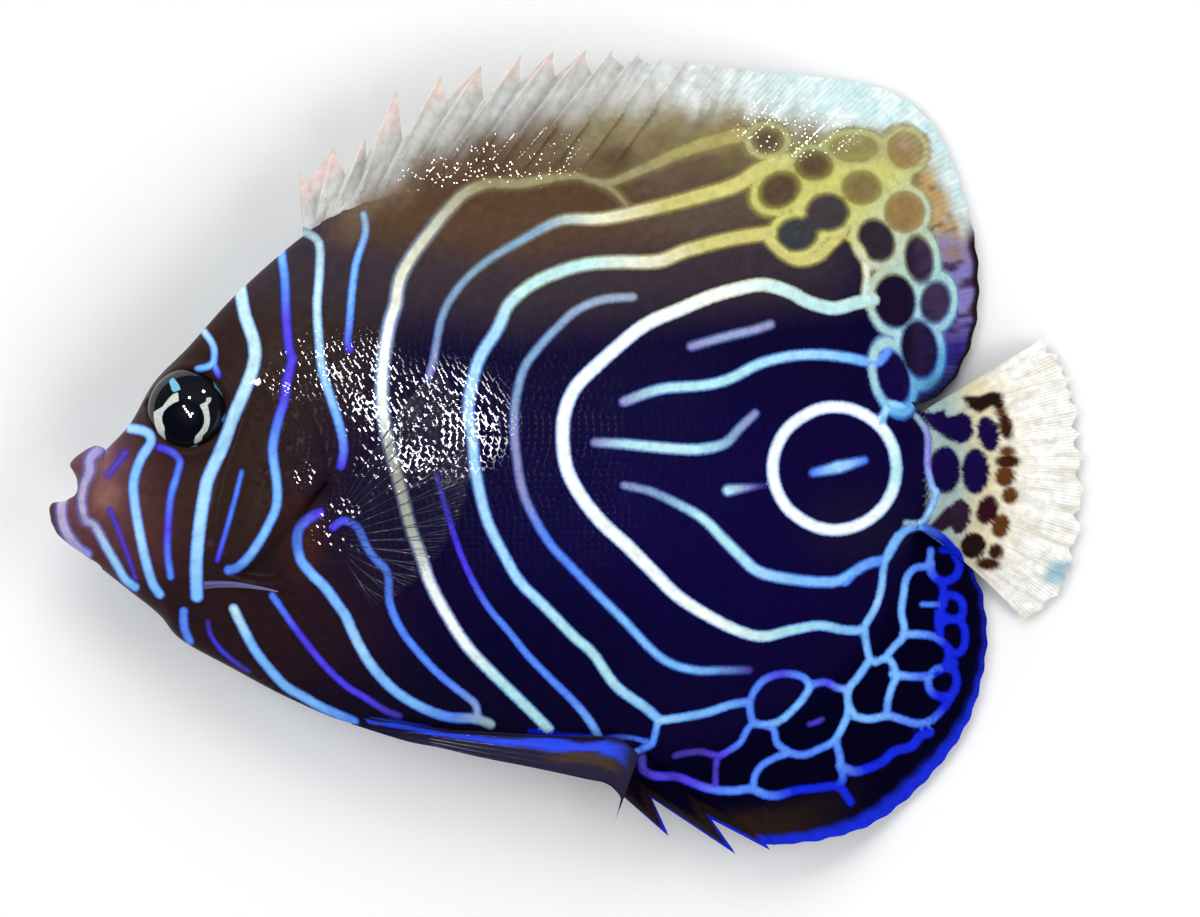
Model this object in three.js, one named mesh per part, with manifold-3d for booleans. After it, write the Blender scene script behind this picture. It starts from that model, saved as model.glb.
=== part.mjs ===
// Young emperor angelfish, life size, lying on its right side. Millimetres.
// +X runs from snout to tail, +Y towards the back, +Z out of the left flank.
// The floor is the plane z = 0, and the origin is under the middle of the outline.
import * as THREE from 'three';
import { mergeVertices } from 'three/addons/utils/BufferGeometryUtils.js';
import Module from 'manifold-3d';

const { clamp, lerp, smoothstep } = THREE.MathUtils;

// Driving dimensions.
const gap = 0.3; // free space between neighbouring pieces
const seamGap = 0.4; // width of the thin cuts that part the body
const midHeight = 7.85; // height of the fish's middle plane over the floor
const tailSag = 1.9; // how much lower the middle plane lies at the tail
const sagFrom = 6; // x where the middle plane starts to fall
const sagTo = 37; // x where it has fallen by the whole tailSag
const membrane = 0.5; // thickness of the skin between fin rays
const rayRidge = 0.2; // how far a ray stands out of the membrane, each side
const spineRidge = 0.38; // the same for a hard spine
const finSpace = 0.55; // free space round a fin in the hollow that its flank gives it
const rimHeight = 0.62; // height of the drooping fin margins over the floor

const eye = { x: -38.9, y: 4.2, radius: 4.5, depth: 2.8, sink: 1.6, tilt: 0.14 };
const lid = { radius: 4.15, roll: 0.42, rise: 1.5 };
const orbit = { radius: 5.2, depth: 2.4 };
const socketSpace = 0.5; // how much wider than the eye its coarser socket is
const cover = { lift: 0.35, thickness: 1.1, slit: 1.0 };
const mouth = { x: -50.6, y: -4.4, radii: [2.7, 1.1, 2.2] };
const cheekSpine = { length: 7.6, radius: 0.62 };
const nostrils = [
  { x: -43.3, y: 5.0, radius: 0.42 },
  { x: -42.5, y: 6.2, radius: 0.5 },
];

// The body's sections, from the snout to the end of the tail base. Each line from
// the back's outline to the belly's has its greatest half thickness, and towards
// those two outlines its half thickness at the edge and how gently it thins out.
const sections = [
  { back: [-50.1, -1.2], belly: [-50.5, -9.6], half: 2.9, edges: [0.3, 0.3], blunt: [0.5, 0.5] },
  { back: [-47.9, 0.1], belly: [-48.2, -12.4], half: 3.9, edges: [0.3, 0.3], blunt: [0.5, 0.5] },
  { back: [-45.3, 2.9], belly: [-45.4, -14.4], half: 4.9, edges: [0.3, 0.3], blunt: [0.5, 0.5] },
  { back: [-42.8, 7.2], belly: [-42.3, -16.9], half: 5.7, edges: [0.3, 0.3], blunt: [0.5, 0.5] },
  { back: [-39.3, 10.8], belly: [-40.0, -19.5], half: 6.3, edges: [0.4, 0.4], blunt: [0.5, 0.55] },
  { back: [-34.3, 16.3], belly: [-34.8, -22.4], half: 6.9, edges: [0.5, 0.5], blunt: [0.58, 0.6] },
  { back: [-27.5, 22.2], belly: [-28.7, -25.6], half: 7.5, edges: [0.9, 0.8], blunt: [0.72, 0.64] },
  { back: [-22.4, 25.2], belly: [-22.1, -28.2], half: 7.8, edges: [1.1, 1.0], blunt: [0.85, 0.68] },
  { back: [-15.3, 27.0], belly: [-14.3, -29.0], half: 7.95, edges: [1.2, 1.2], blunt: [0.92, 0.72] },
  { back: [-5.0, 28.0], belly: [-5.0, -29.4], half: 8.05, edges: [1.2, 1.2], blunt: [0.95, 0.78] },
  { back: [6.0, 28.2], belly: [5.0, -29.7], half: 7.8, edges: [1.2, 1.2], blunt: [0.95, 0.88] },
  { back: [17.4, 26.6], belly: [14.5, -27.4], half: 6.8, edges: [1.2, 1.2], blunt: [0.95, 0.95] },
  { back: [26.0, 22.6], belly: [22.5, -23.4], half: 5.5, edges: [1.1, 1.1], blunt: [0.92, 0.92] },
  { back: [31.3, 17.0], belly: [28.8, -18.4], half: 4.5, edges: [1.0, 1.0], blunt: [0.88, 0.88] },
  { back: [34.2, 10.5], belly: [33.0, -13.0], half: 3.7, edges: [0.8, 0.8], blunt: [0.8, 0.8] },
  { back: [35.5, 5.4], belly: [35.3, -8.9], half: 3.2, edges: [0.5, 0.5], blunt: [0.7, 0.7] },
  { back: [36.6, 4.0], belly: [36.6, -8.0], half: 2.9, edges: [0.3, 0.3], blunt: [0.6, 0.6] },
];
const stepsPerSection = 3;
const ringSteps = 12; // from belly edge to back edge, on each flank

// Lines drawn on the side view.
const gillEdge = [
  [-30.6, 7.4], [-27.6, 5.6], [-25.9, 2.6], [-24.9, -0.6], [-25.0, -2.6],
  [-26.4, -4.2], [-28.9, -6.8], [-30.9, -9.6], [-33.0, -11.6], [-35.6, -12.2],
];
const cheekEdge = [[-36.5, -9.0], [-35.4, -3.4], [-33.8, 2.0], [-32.6, 5.8]];
const shoulderEdge = [
  [-24.3, -3.4], [-25.9, -5.6], [-27.3, -8.2], [-27.6, -10.8], [-29.6, -13.4], [-33.4, -13.2],
];
const headSeam = [
  [-27.6, 26], [-28.6, 20], [-29.2, 14], [-28.4, 9.0], [-25.6, 5.8], [-24.0, 2.4],
  [-23.5, -1.6], [-24.0, -4.0], [-26.9, -8.2], [-27.2, -11.0], [-29.4, -14.0],
  [-34.0, -15.8], [-39.0, -16.2], [-44.5, -15.9],
];
const jawSeam = [
  [-53, -3.2], [-50.9, -4.4], [-49.6, -7.2], [-47.9, -8.6], [-46.2, -11.2], [-45.4, -16.5],
];
const tailSeam = [[33.0, 20.5], [28.6, 9.0], [27.6, -2.0], [28.2, -11.0], [30.6, -20.5]];

const wasm = await Module();
wasm.setup();

// A closed geometry as a solid that can be joined and cut.
function solidOf(geometry) {
  geometry.deleteAttribute('normal');
  geometry.deleteAttribute('uv');
  const merged = mergeVertices(geometry, 1e-4);
  return new wasm.Manifold(new wasm.Mesh({
    numProp: 3,
    vertProperties: new Float32Array(merged.attributes.position.array),
    triVerts: new Uint32Array(merged.index.array),
  }));
}

function geometryOf(solid) {
  const mesh = solid.getMesh();
  const geometry = new THREE.BufferGeometry();
  geometry.setAttribute('position', new THREE.BufferAttribute(mesh.vertProperties, 3));
  geometry.setIndex(new THREE.BufferAttribute(mesh.triVerts, 1));
  geometry.computeVertexNormals();
  return geometry;
}

function largestOf(solid) {
  return solid.decompose().reduce((best, piece) => (piece.volume() > best.volume() ? piece : best));
}

// A closed surface, with its faces turned outwards whichever way they were wound.
function closedGeometry(positions, triangles) {
  const corners = positions.map((p) => new THREE.Vector3(...p));
  const volume = triangles.reduce(
    (sum, [a, b, c]) => sum + corners[a].dot(corners[b].clone().cross(corners[c])),
    0,
  );
  const outward = volume > 0 ? triangles : triangles.map(([a, b, c]) => [a, c, b]);
  const geometry = new THREE.BufferGeometry();
  geometry.setAttribute('position', new THREE.Float32BufferAttribute(positions.flat(), 3));
  geometry.setIndex(outward.flat());
  return geometry;
}

function middleAt(x) {
  return midHeight - tailSag * smoothstep(x, sagFrom, sagTo);
}

// Body loft.

const backLine = new THREE.SplineCurve(sections.map((s) => new THREE.Vector2(...s.back)));
const bellyLine = new THREE.SplineCurve(sections.map((s) => new THREE.Vector2(...s.belly)));

function sectionAt(u) {
  const place = clamp(u, 0, 1) * (sections.length - 1);
  const i = Math.min(Math.floor(place), sections.length - 2);
  const [a, b] = [sections[i], sections[i + 1]];
  const t = place - i;
  return {
    back: backLine.getPoint(clamp(u, 0, 1)),
    belly: bellyLine.getPoint(clamp(u, 0, 1)),
    half: lerp(a.half, b.half, t),
    edges: [lerp(a.edges[0], b.edges[0], t), lerp(a.edges[1], b.edges[1], t)],
    blunt: [lerp(a.blunt[0], b.blunt[0], t), lerp(a.blunt[1], b.blunt[1], t)],
  };
}

// Half thickness at v, which runs from -1 at the belly to 1 at the back.
function halfThickness(section, v) {
  const way = v > 0 ? 0 : 1;
  const edge = section.edges[way];
  return edge + (section.half - edge) * (1 - Math.abs(v) ** 2.4) ** section.blunt[way];
}

// The body as a solid, with its flanks moved out by offset.
function bodySolid(offset) {
  const stations = stepsPerSection * (sections.length - 1);
  const positions = [];
  const triangles = [];
  const ring = 2 * (ringSteps + 1);
  for (let i = 0; i <= stations; i += 1) {
    const section = sectionAt(i / stations);
    for (let k = 0; k < ring; k += 1) {
      const left = k <= ringSteps;
      const step = left ? k : ring - 1 - k;
      const v = Math.sin((step / ringSteps - 0.5) * Math.PI);
      const { x, y } = section.belly.clone().lerp(section.back, (v + 1) / 2);
      const half = halfThickness(section, v) + offset;
      positions.push([x, y, middleAt(x) + (left ? half : -half)]);
    }
  }
  for (let i = 0; i < stations; i += 1) {
    for (let k = 0; k < ring; k += 1) {
      const a = i * ring + k;
      const b = i * ring + ((k + 1) % ring);
      triangles.push([a, a + ring, b], [b, a + ring, b + ring]);
    }
  }
  for (const [start, flip] of [[0, false], [stations * ring, true]]) {
    for (let k = 0; k < ringSteps; k += 1) {
      const [a, b] = [start + k, start + k + 1];
      const [c, d] = [start + ring - 1 - k, start + ring - 2 - k];
      triangles.push(...(flip ? [[a, c, b], [b, c, d]] : [[a, b, c], [b, d, c]]));
    }
  }
  return solidOf(closedGeometry(positions, triangles));
}

// Half thickness of the body where the side view shows the point (x, y).
function flankAt(x, y) {
  let [low, high] = [0, 1];
  for (let i = 0; i < 30; i += 1) {
    const middle = (low + high) / 2;
    const { back, belly } = sectionAt(middle);
    const side = (back.x - belly.x) * (y - belly.y) - (back.y - belly.y) * (x - belly.x);
    if (side > 0) high = middle;
    else low = middle;
  }
  const section = sectionAt(low);
  const v = (2 * (y - section.belly.y)) / (section.back.y - section.belly.y) - 1;
  return halfThickness(section, clamp(v, -1, 1));
}

// Prisms over the side view.

function outwardNormals(points, closed) {
  return points.map((point, i) => {
    const count = points.length;
    const before = closed ? points[(i + count - 1) % count] : points[Math.max(i - 1, 0)];
    const after = closed ? points[(i + 1) % count] : points[Math.min(i + 1, count - 1)];
    const length = Math.hypot(after[0] - before[0], after[1] - before[1]);
    return [(after[1] - before[1]) / length, (before[0] - after[0]) / length];
  });
}

function grown(points, distance, closed = true) {
  const normals = outwardNormals(points, closed);
  return points.map(([x, y], i) => [x + normals[i][0] * distance, y + normals[i][1] * distance]);
}

function prism(points, from, to) {
  const shape = new THREE.Shape(points.map(([x, y]) => new THREE.Vector2(x, y)));
  const geometry = new THREE.ExtrudeGeometry(shape, { depth: to - from, bevelEnabled: false });
  return solidOf(geometry.translate(0, 0, from));
}

// A thin wall along an open line, used to part one piece from the next.
function seamWall(points) {
  const front = grown(points, -seamGap / 2, false);
  const rear = grown(points, seamGap / 2, false);
  return prism([...front, ...rear.reverse()], -5, 25);
}

// A prism that takes only the left (side 1) or the right (side -1) flank.
function flankPrism(points, side) {
  return side > 0 ? prism(points, midHeight, 25) : prism(points, -5, midHeight);
}

// Round rolls and cones along a curve, closed with a point at both ends.
function roll(curve, radiusAt, steps, sides, grow = 0) {
  const frames = curve.computeFrenetFrames(steps, false);
  const positions = [curve.getPoint(0).toArray()];
  const triangles = [];
  for (let i = 0; i <= steps; i += 1) {
    const centre = curve.getPoint(i / steps);
    for (let k = 0; k < sides; k += 1) {
      const angle = (2 * Math.PI * k) / sides;
      const out = frames.normals[i].clone().multiplyScalar(Math.cos(angle));
      out.addScaledVector(frames.binormals[i], Math.sin(angle));
      positions.push(centre.clone().addScaledVector(out, radiusAt(i / steps) + grow).toArray());
    }
  }
  const reach = (t) => 0.6 * radiusAt(t) + grow;
  const end = curve.getPoint(1).addScaledVector(curve.getTangent(1), reach(1));
  positions[0] = curve.getPoint(0).addScaledVector(curve.getTangent(0), -reach(0)).toArray();
  positions.push(end.toArray());
  for (let k = 0; k < sides; k += 1) {
    const next = (k + 1) % sides;
    triangles.push([0, 1 + next, 1 + k]);
    for (let i = 0; i < steps; i += 1) {
      const [a, b] = [1 + i * sides + k, 1 + i * sides + next];
      triangles.push([a, b, a + sides], [b, b + sides, a + sides]);
    }
    triangles.push([1 + steps * sides + k, 1 + steps * sides + next, positions.length - 1]);
  }
  return solidOf(closedGeometry(positions, triangles));
}

// Fins. A fin is a row of lines from its root to its rim, each with the height of
// its ridge. Both faces are split into triangles alike.
function webbing(lines, { rows, heightAt, rootHalf, grow = 0 }) {
  const columns = lines.length;
  const positions = [];
  const triangles = [];
  for (const face of [1, -1]) {
    lines.forEach(({ root, rim, ridge = 0, bow = 0 }, i) => {
      const across = i / (columns - 1);
      for (let j = 0; j <= rows; j += 1) {
        const t = j / rows;
        const point = root.clone().lerp(rim, t);
        const side = new THREE.Vector2(root.y - rim.y, rim.x - root.x);
        point.addScaledVector(side, bow * t * (1 - t));
        const thin = membrane / 2 - 0.05 * t;
        const thick = thin + (rootHalf(across) - thin) * (1 - t) ** 3 + ridge * (1 - 0.7 * t);
        const height = heightAt(point, t, across, root);
        positions.push([point.x, point.y, height + face * (thick + grow)]);
      }
    });
  }
  const at = (face, i, j) => (face * columns + i) * (rows + 1) + j;
  const quad = (a, b, c, d) => triangles.push([a, b, c], [a, c, d]);
  for (let i = 0; i < columns - 1; i += 1) {
    for (let j = 0; j < rows; j += 1) {
      quad(at(0, i, j), at(0, i, j + 1), at(0, i + 1, j + 1), at(0, i + 1, j));
      triangles.push([at(1, i, j), at(1, i + 1, j + 1), at(1, i, j + 1)]);
      triangles.push([at(1, i, j), at(1, i + 1, j), at(1, i + 1, j + 1)]);
    }
    quad(at(0, i, 0), at(0, i + 1, 0), at(1, i + 1, 0), at(1, i, 0));
    quad(at(0, i + 1, rows), at(0, i, rows), at(1, i, rows), at(1, i + 1, rows));
  }
  for (let j = 0; j < rows; j += 1) {
    quad(at(0, 0, j + 1), at(0, 0, j), at(1, 0, j), at(1, 0, j + 1));
    quad(at(0, columns - 1, j), at(0, columns - 1, j + 1), at(1, columns - 1, j + 1), at(1, columns - 1, j));
  }
  return solidOf(closedGeometry(positions, triangles));
}

// Places on the back's or the belly's outline, by x, and a point there set off by gap.
function arcPlace(line, x) {
  let [low, high] = [0, 1];
  for (let i = 0; i < 30; i += 1) {
    const middle = (low + high) / 2;
    if (line.getPointAt(middle).x > x) high = middle;
    else low = middle;
  }
  return low;
}

function rootPoint(line, place, outward) {
  const tangent = line.getTangentAt(place);
  const normal = new THREE.Vector2(-tangent.y, tangent.x).multiplyScalar(outward);
  return line.getPointAt(place).addScaledVector(normal, gap);
}

function finRoots(line, fromX, toX, outward) {
  const [from, to] = [arcPlace(line, fromX), arcPlace(line, toX)];
  return (share) => rootPoint(line, lerp(from, to, share), outward);
}

// Fin lines moved apart by grow on all sides, for the space that a fin lies in.
function widened(lines, grow) {
  return lines.map((line, i) => {
    const along = line.rim.clone().sub(line.root).normalize().multiplyScalar(grow);
    const across = lines[lines.length - 1].root.clone().sub(lines[0].root).normalize();
    across.multiplyScalar({ 0: -grow, [lines.length - 1]: grow }[i] ?? 0);
    const root = line.root.clone().sub(along).add(across);
    const rim = line.rim.clone().add(along).add(across);
    return { ...line, root, rim };
  });
}

const curveOf = (points) => new THREE.SplineCurve(points.map((p) => new THREE.Vector2(...p)));

// Soft rays: every second line is the crest of one, and the skin between two rays
// ends a little short of their tips.
function softRays(count, rootAt, rim, { notch = 0.25, bowAt = () => 0 } = {}) {
  return Array.from({ length: 2 * count + 1 }, (_, i) => {
    const share = i / (2 * count);
    const crest = i % 2 === 1;
    const root = rootAt(share);
    const tip = rim.getPointAt(share);
    if (!crest && share > 0 && share < 1) tip.addScaledVector(root.clone().sub(tip).normalize(), notch);
    return { root, rim: tip, ridge: crest ? rayRidge : 0, bow: bowAt(share) };
  });
}

// Hard spines: each has a line up its front that ends at the notch before it, its
// crest out to the tip, its back, and a line in the skin behind it.
function hardSpines(rootAt, places, tips, notches) {
  const width = 0.42;
  return tips.flatMap((tip, i) => {
    const root = rootAt(places[i]);
    const nextRoot = rootAt(places[i + 1] ?? 1);
    const along = nextRoot.clone().sub(root).normalize();
    const tipPoint = new THREE.Vector2(...tip);
    const notch = new THREE.Vector2(...notches[i]);
    const next = new THREE.Vector2(...(notches[i + 1] ?? tips[i]));
    const behind = tipPoint.clone().lerp(root, 0.05).addScaledVector(along, 0.3);
    return [
      { root: root.clone().addScaledVector(along, -width), rim: notch },
      { root, rim: tipPoint, ridge: spineRidge },
      { root: root.clone().addScaledVector(along, width), rim: behind },
      { root: root.clone().lerp(nextRoot, 0.6), rim: behind.clone().lerp(next, 0.6) },
    ];
  });
}

// A median fin leaves the body at its middle plane and droops towards the floor.
function drooping(rimAt) {
  return (point, t, across, root) => lerp(middleAt(root.x), rimAt(across), t ** 1.2);
}

// Dorsal fin.
const spineTips = [
  [-27.9, 29.1], [-24.3, 31.5], [-21.1, 32.4], [-17.8, 37.5], [-13.1, 39.1], [-9.0, 40.1],
  [-4.8, 41.2], [-1.5, 41.6], [1.9, 41.8], [4.7, 41.8], [7.5, 41.6], [9.9, 41.2], [12.4, 40.6],
];
const spineNotches = [
  [-27.6, 24.6], [-26.0, 25.6], [-23.1, 28.6], [-21.0, 29.4], [-17.2, 32.3], [-12.4, 35.4],
  [-8.8, 36.6], [-5.1, 37.4], [-1.2, 38.3], [2.4, 39.2], [5.8, 40.0], [8.5, 40.3], [11.2, 40.0],
];
const spinyRoots = finRoots(backLine, -27.3, 4.5, 1);
const spinyPlaces = spineTips.map((_, i) => 0.02 + 0.95 * (i / (spineTips.length - 1)) ** 1.25);
const spinyLines = hardSpines(spinyRoots, spinyPlaces, spineTips, spineNotches);
const spinyFin = webbing(spinyLines, {
  rows: 5,
  heightAt: drooping((across) => lerp(7.2, 3.2, across)),
  rootHalf: (across) => lerp(0.8, 1.2, across),
});

const softDorsalRim = curveOf([
  [13.4, 40.3], [19.5, 39.7], [26.5, 39.1], [33.8, 37.5], [38.4, 33.6], [41.3, 26.7],
  [42.8, 19.9], [42.5, 12.7], [40.1, 7.2], [37.2, 5.0],
]);
const softRimDrop = (across) => lerp(3.1, rimHeight, smoothstep(across, 0, 0.3));
const softDorsalFin = webbing(
  softRays(19, finRoots(backLine, 4.9, 35.4, 1), softDorsalRim),
  { rows: 6, heightAt: drooping(softRimDrop), rootHalf: (across) => lerp(1.2, 0.6, across ** 3) },
);

// Anal fin, its three spines in front.
const analSpineTips = [[10.4, -39.9], [17.4, -41.8], [21.0, -41.4]];
const analNotches = [[4.6, -34.8], [8.7, -36.0], [14.9, -38.2]];
const analRim = curveOf([
  [22.0, -40.9], [27.2, -40.3], [32.6, -38.4], [37.9, -33.8], [41.9, -28.0], [43.7, -20.9],
  [43.4, -15.4], [41.3, -11.4], [37.7, -9.3],
]);
const analSpineRoots = finRoots(bellyLine, 1.0, 8.6, -1);
const analLines = [
  ...hardSpines(analSpineRoots, [0.08, 0.4, 0.72], analSpineTips, analNotches),
  ...softRays(18, finRoots(bellyLine, 8.6, 35.3, -1), analRim),
];
const analFin = webbing(analLines, {
  rows: 6,
  heightAt: drooping((across) => lerp(6.0, rimHeight, smoothstep(across, 0.1, 0.5))),
  rootHalf: (across) => lerp(1.2, 0.6, across ** 3),
});

// Tail fin, rounded like a fan.
const tailRim = curveOf([
  [49.9, 12.0], [52.6, 7.0], [53.7, 1.0], [53.7, -5.0], [52.8, -11.5], [50.6, -15.6], [47.5, -17.5],
]);
const tailEnd = sections[sections.length - 1];
const tailRoot = (share) => new THREE.Vector2(
  tailEnd.back[0] + gap,
  lerp(tailEnd.back[1], tailEnd.belly[1], share),
);
const tailSection = sectionAt(1);
const tailFin = webbing(
  softRays(15, tailRoot, tailRim, { notch: 0.4, bowAt: (share) => 0.36 * share ** 3 }),
  {
    rows: 6,
    heightAt: drooping(() => rimHeight),
    rootHalf: (across) => halfThickness(tailSection, 1 - 2 * across),
  },
);

// Breast fins, each pressed along its flank. The right one lies in a hollow that the
// floor presses it into.
const breastRim = curveOf([
  [-14.8, 7.2], [-12.6, 8.2], [-10.7, 4.3], [-9.9, -2.4], [-11.4, -8.0], [-15.1, -13.0], [-20.1, -16.3],
]);
const breastRoot = (share) => new THREE.Vector2(-23.2 + 0.4 * share, lerp(-5.4, -11.2, share));
function breastFin(side, rays = 15, grow = 0) {
  const heightAt = ({ x, y }) => {
    const clear = lerp(-0.3, 0.8, smoothstep(x, -23.4, -20.6)) + 0.5 * smoothstep(x, -20, -10);
    const height = middleAt(x) + side * (flankAt(x, y) + clear);
    return side > 0 ? height : Math.max(height, rimHeight);
  };
  const lines = softRays(rays, breastRoot, breastRim, { notch: 0.2, bowAt: (share) => 0.12 - 0.2 * share });
  return webbing(widened(lines, grow), { rows: 5, heightAt, rootHalf: () => 0.4, grow });
}

// Belly fins, folded back along the belly. The right one hangs lower, clear of the
// anal fin's front.
const bellyRim = curveOf([[4.9, -38.4], [5.5, -35.6], [6.7, -33.2], [8.4, -30.8]]);
const bellyRoot = (share) => new THREE.Vector2(lerp(-22.0, -20.4, share), lerp(-28.0, -27.2, share));
function bellyFin(side, rays = 6, grow = 0) {
  const hang = side < 0 ? 2.4 : 0.3;
  const heightAt = ({ x, y }) => {
    const clear = lerp(-0.4, 0.8, smoothstep(x, -22.4, -16)) + hang * smoothstep(x, -22, 10) ** 1.5;
    return middleAt(x) + side * (flankAt(x, y) + clear);
  };
  const lines = softRays(rays, bellyRoot, bellyRim, { notch: 0.5, bowAt: (share) => 0.3 - 0.3 * share });
  return webbing(widened(lines, grow), { rows: 10, heightAt, rootHalf: () => 0.5, grow });
}

// Head.

function ball(radii, tilt, x, y, z, segments = 18) {
  const geometry = new THREE.SphereGeometry(1, segments, Math.round(segments * 0.6));
  geometry.rotateX(Math.PI / 2).scale(...radii).rotateX(tilt).translate(x, y, z);
  return solidOf(geometry);
}

function eyeCentre(side) {
  return middleAt(eye.x) + side * (flankAt(eye.x, eye.y) - eye.sink);
}

function eyeBall(side) {
  return ball([eye.radius, eye.radius, eye.depth], -side * eye.tilt, eye.x, eye.y, eyeCentre(side));
}

function eyeSocket(side) {
  const radii = [eye.radius, eye.radius, eye.depth].map((radius) => radius + socketSpace);
  return ball(radii, -side * eye.tilt, eye.x, eye.y, eyeCentre(side), 14);
}

function orbitRim(side) {
  const ring = new THREE.TorusGeometry(lid.radius, lid.roll, 5, 22);
  ring.translate(0, 0, side * lid.rise).rotateX(-side * eye.tilt).translate(eye.x, eye.y, eyeCentre(side));
  const radii = [orbit.radius, orbit.radius, orbit.depth];
  return solidOf(ring).add(ball(radii, -side * eye.tilt, eye.x, eye.y, eyeCentre(side), 14));
}

function nostril({ x, y, radius }, side) {
  const height = middleAt(x) + side * flankAt(x, y);
  return ball([radius, radius, 2 * radius], 0, x, y, height, 8);
}

function cheekSpineSolid(side) {
  const [rootX, rootY] = [-37.4, -13.7];
  const tipX = rootX + cheekSpine.length;
  const rootHeight = flankAt(rootX, rootY) - 0.35;
  const tipHeight = flankAt(tipX, rootY - 0.7) + 1.0;
  const curve = new THREE.QuadraticBezierCurve3(
    new THREE.Vector3(rootX, rootY, midHeight + side * rootHeight),
    new THREE.Vector3(rootX + 3, rootY + 0.3, midHeight + side * (rootHeight + 0.55)),
    new THREE.Vector3(tipX, rootY - 0.7, midHeight + side * tipHeight),
  );
  return roll(curve, (t) => cheekSpine.radius * (1 - 0.85 * t), 4, 7);
}

// Each lip is a roll from one corner of the mouth round its front to the other.
const lips = {
  upper: { front: [-50.0, -1.75], corner: [-49.2, -6.2], bulge: 0.35, radius: 1.42, half: 2.5 },
  lower: { front: [-52.15, -6.5], corner: [-49.0, -7.6], bulge: 0, radius: 1.52, half: 2.6 },
};
const lipSpace = 0.42; // widens the hollows that the lips lie in
function lipRoll({ front, corner, bulge, radius, half }, grow) {
  const point = ([x, y], z) => new THREE.Vector3(x, y, midHeight + z);
  const between = [lerp(front[0], corner[0], 0.5) - bulge, lerp(front[1], corner[1], 0.5)];
  const curve = new THREE.CatmullRomCurve3([
    point(corner, -half), point(between, -half * 0.94), point(front, -half * 0.45),
    point(front, half * 0.45), point(between, half * 0.94), point(corner, half),
  ]);
  return roll(curve, (t) => radius * (0.5 + 0.5 * Math.sin(Math.PI * t) ** 0.8), 14, 9, grow);
}

// Parting the body.

const floorBlock = solidOf(new THREE.BoxGeometry(200, 200, 20).translate(0, 0, -10));
const coverShape = [...gillEdge, ...cheekEdge].reverse();
const slitShape = [...gillEdge.slice(4), ...shoulderEdge.toReversed()];
const core = bodySolid(-cover.thickness);
const pocketCore = bodySolid(-cover.thickness - gap);
const slitCore = bodySolid(-cover.slit);

function gillCover(side) {
  const plate = bodySolid(cover.lift).intersect(flankPrism(coverShape, side));
  return largestOf(plate.subtract(core).subtract(eyeSocket(side)).subtract(floorBlock));
}

let whole = bodySolid(0).subtract(floorBlock);
for (const side of [1, -1]) {
  whole = whole.subtract(flankPrism(grown(coverShape, seamGap), side).subtract(pocketCore));
  whole = whole.subtract(flankPrism(slitShape, side).subtract(slitCore));
}
for (const seam of [jawSeam, headSeam, tailSeam]) whole = whole.subtract(seamWall(seam));

// The parted pieces, from the snout to the tail.
const middleOf = (solid) => {
  const { min, max } = solid.boundingBox();
  return (min[0] + max[0]) / 2;
};
const pieces = whole.decompose().sort((a, b) => b.volume() - a.volume()).slice(0, 4);
const [jawPiece, headPiece, trunkPiece, tailPiece] = pieces.sort((a, b) => middleOf(a) - middleOf(b));

const mouthHollow = ball(mouth.radii, 0, mouth.x, mouth.y, midHeight, 12);
let head = headPiece;
let trunk = trunkPiece;
for (const side of [1, -1]) {
  head = head.add(orbitRim(side)).subtract(eyeSocket(side)).add(cheekSpineSolid(side));
  for (const pit of nostrils) head = head.subtract(nostril(pit, side));
  trunk = trunk.subtract(breastFin(side, 8, finSpace)).subtract(bellyFin(side, 6, finSpace));
}
const upperLip = lipRoll(lips.upper, 0);
const upperLipSpace = lipRoll(lips.upper, lipSpace);
head = head.subtract(mouthHollow).subtract(upperLipSpace).subtract(lipRoll(lips.lower, lipSpace));
const jaw = jawPiece.subtract(mouthHollow).add(lipRoll(lips.lower, 0)).subtract(upperLipSpace);

// Node names, solids and the look of each.
const looks = {
  darkSkin: { color: 0x2a1c24, roughness: 0.35 },
  deepBlueSkin: { color: 0x12103c, roughness: 0.32 },
  paleLip: { color: 0x8f8296, roughness: 0.35 },
  clearFin: { color: 0xa8a894, roughness: 0.4 },
  blueFin: { color: 0x1a1f8c, roughness: 0.35 },
  creamFin: { color: 0xe0d6bc, roughness: 0.4 },
  eye: { color: 0x0a0a14, roughness: 0.08 },
};
const nodes = [
  ['head', head, looks.darkSkin],
  ['upper_lip', upperLip, looks.paleLip],
  ['lower_jaw', jaw, looks.paleLip],
  ['gill_cover_left', gillCover(1), looks.darkSkin],
  ['gill_cover_right', gillCover(-1), looks.darkSkin],
  ['eye_left', eyeBall(1), looks.eye],
  ['eye_right', eyeBall(-1), looks.eye],
  ['trunk', trunk, looks.deepBlueSkin],
  ['tail_base', tailPiece, looks.deepBlueSkin],
  ['dorsal_fin_spines', spinyFin, looks.clearFin],
  ['dorsal_fin_rays', softDorsalFin, looks.clearFin],
  ['anal_fin', analFin, looks.blueFin],
  ['tail_fin', tailFin, looks.creamFin],
  ['breast_fin_left', breastFin(1), looks.clearFin],
  ['breast_fin_right', breastFin(-1), looks.clearFin],
  ['belly_fin_left', bellyFin(1), looks.blueFin],
  ['belly_fin_right', bellyFin(-1), looks.blueFin],
];

const fish = new THREE.Group();
for (const [name, solid, look] of nodes) {
  const mesh = new THREE.Mesh(geometryOf(largestOf(solid)), new THREE.MeshStandardMaterial(look));
  mesh.name = name;
  fish.add(mesh);
}

export default fish;
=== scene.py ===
import math

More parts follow.
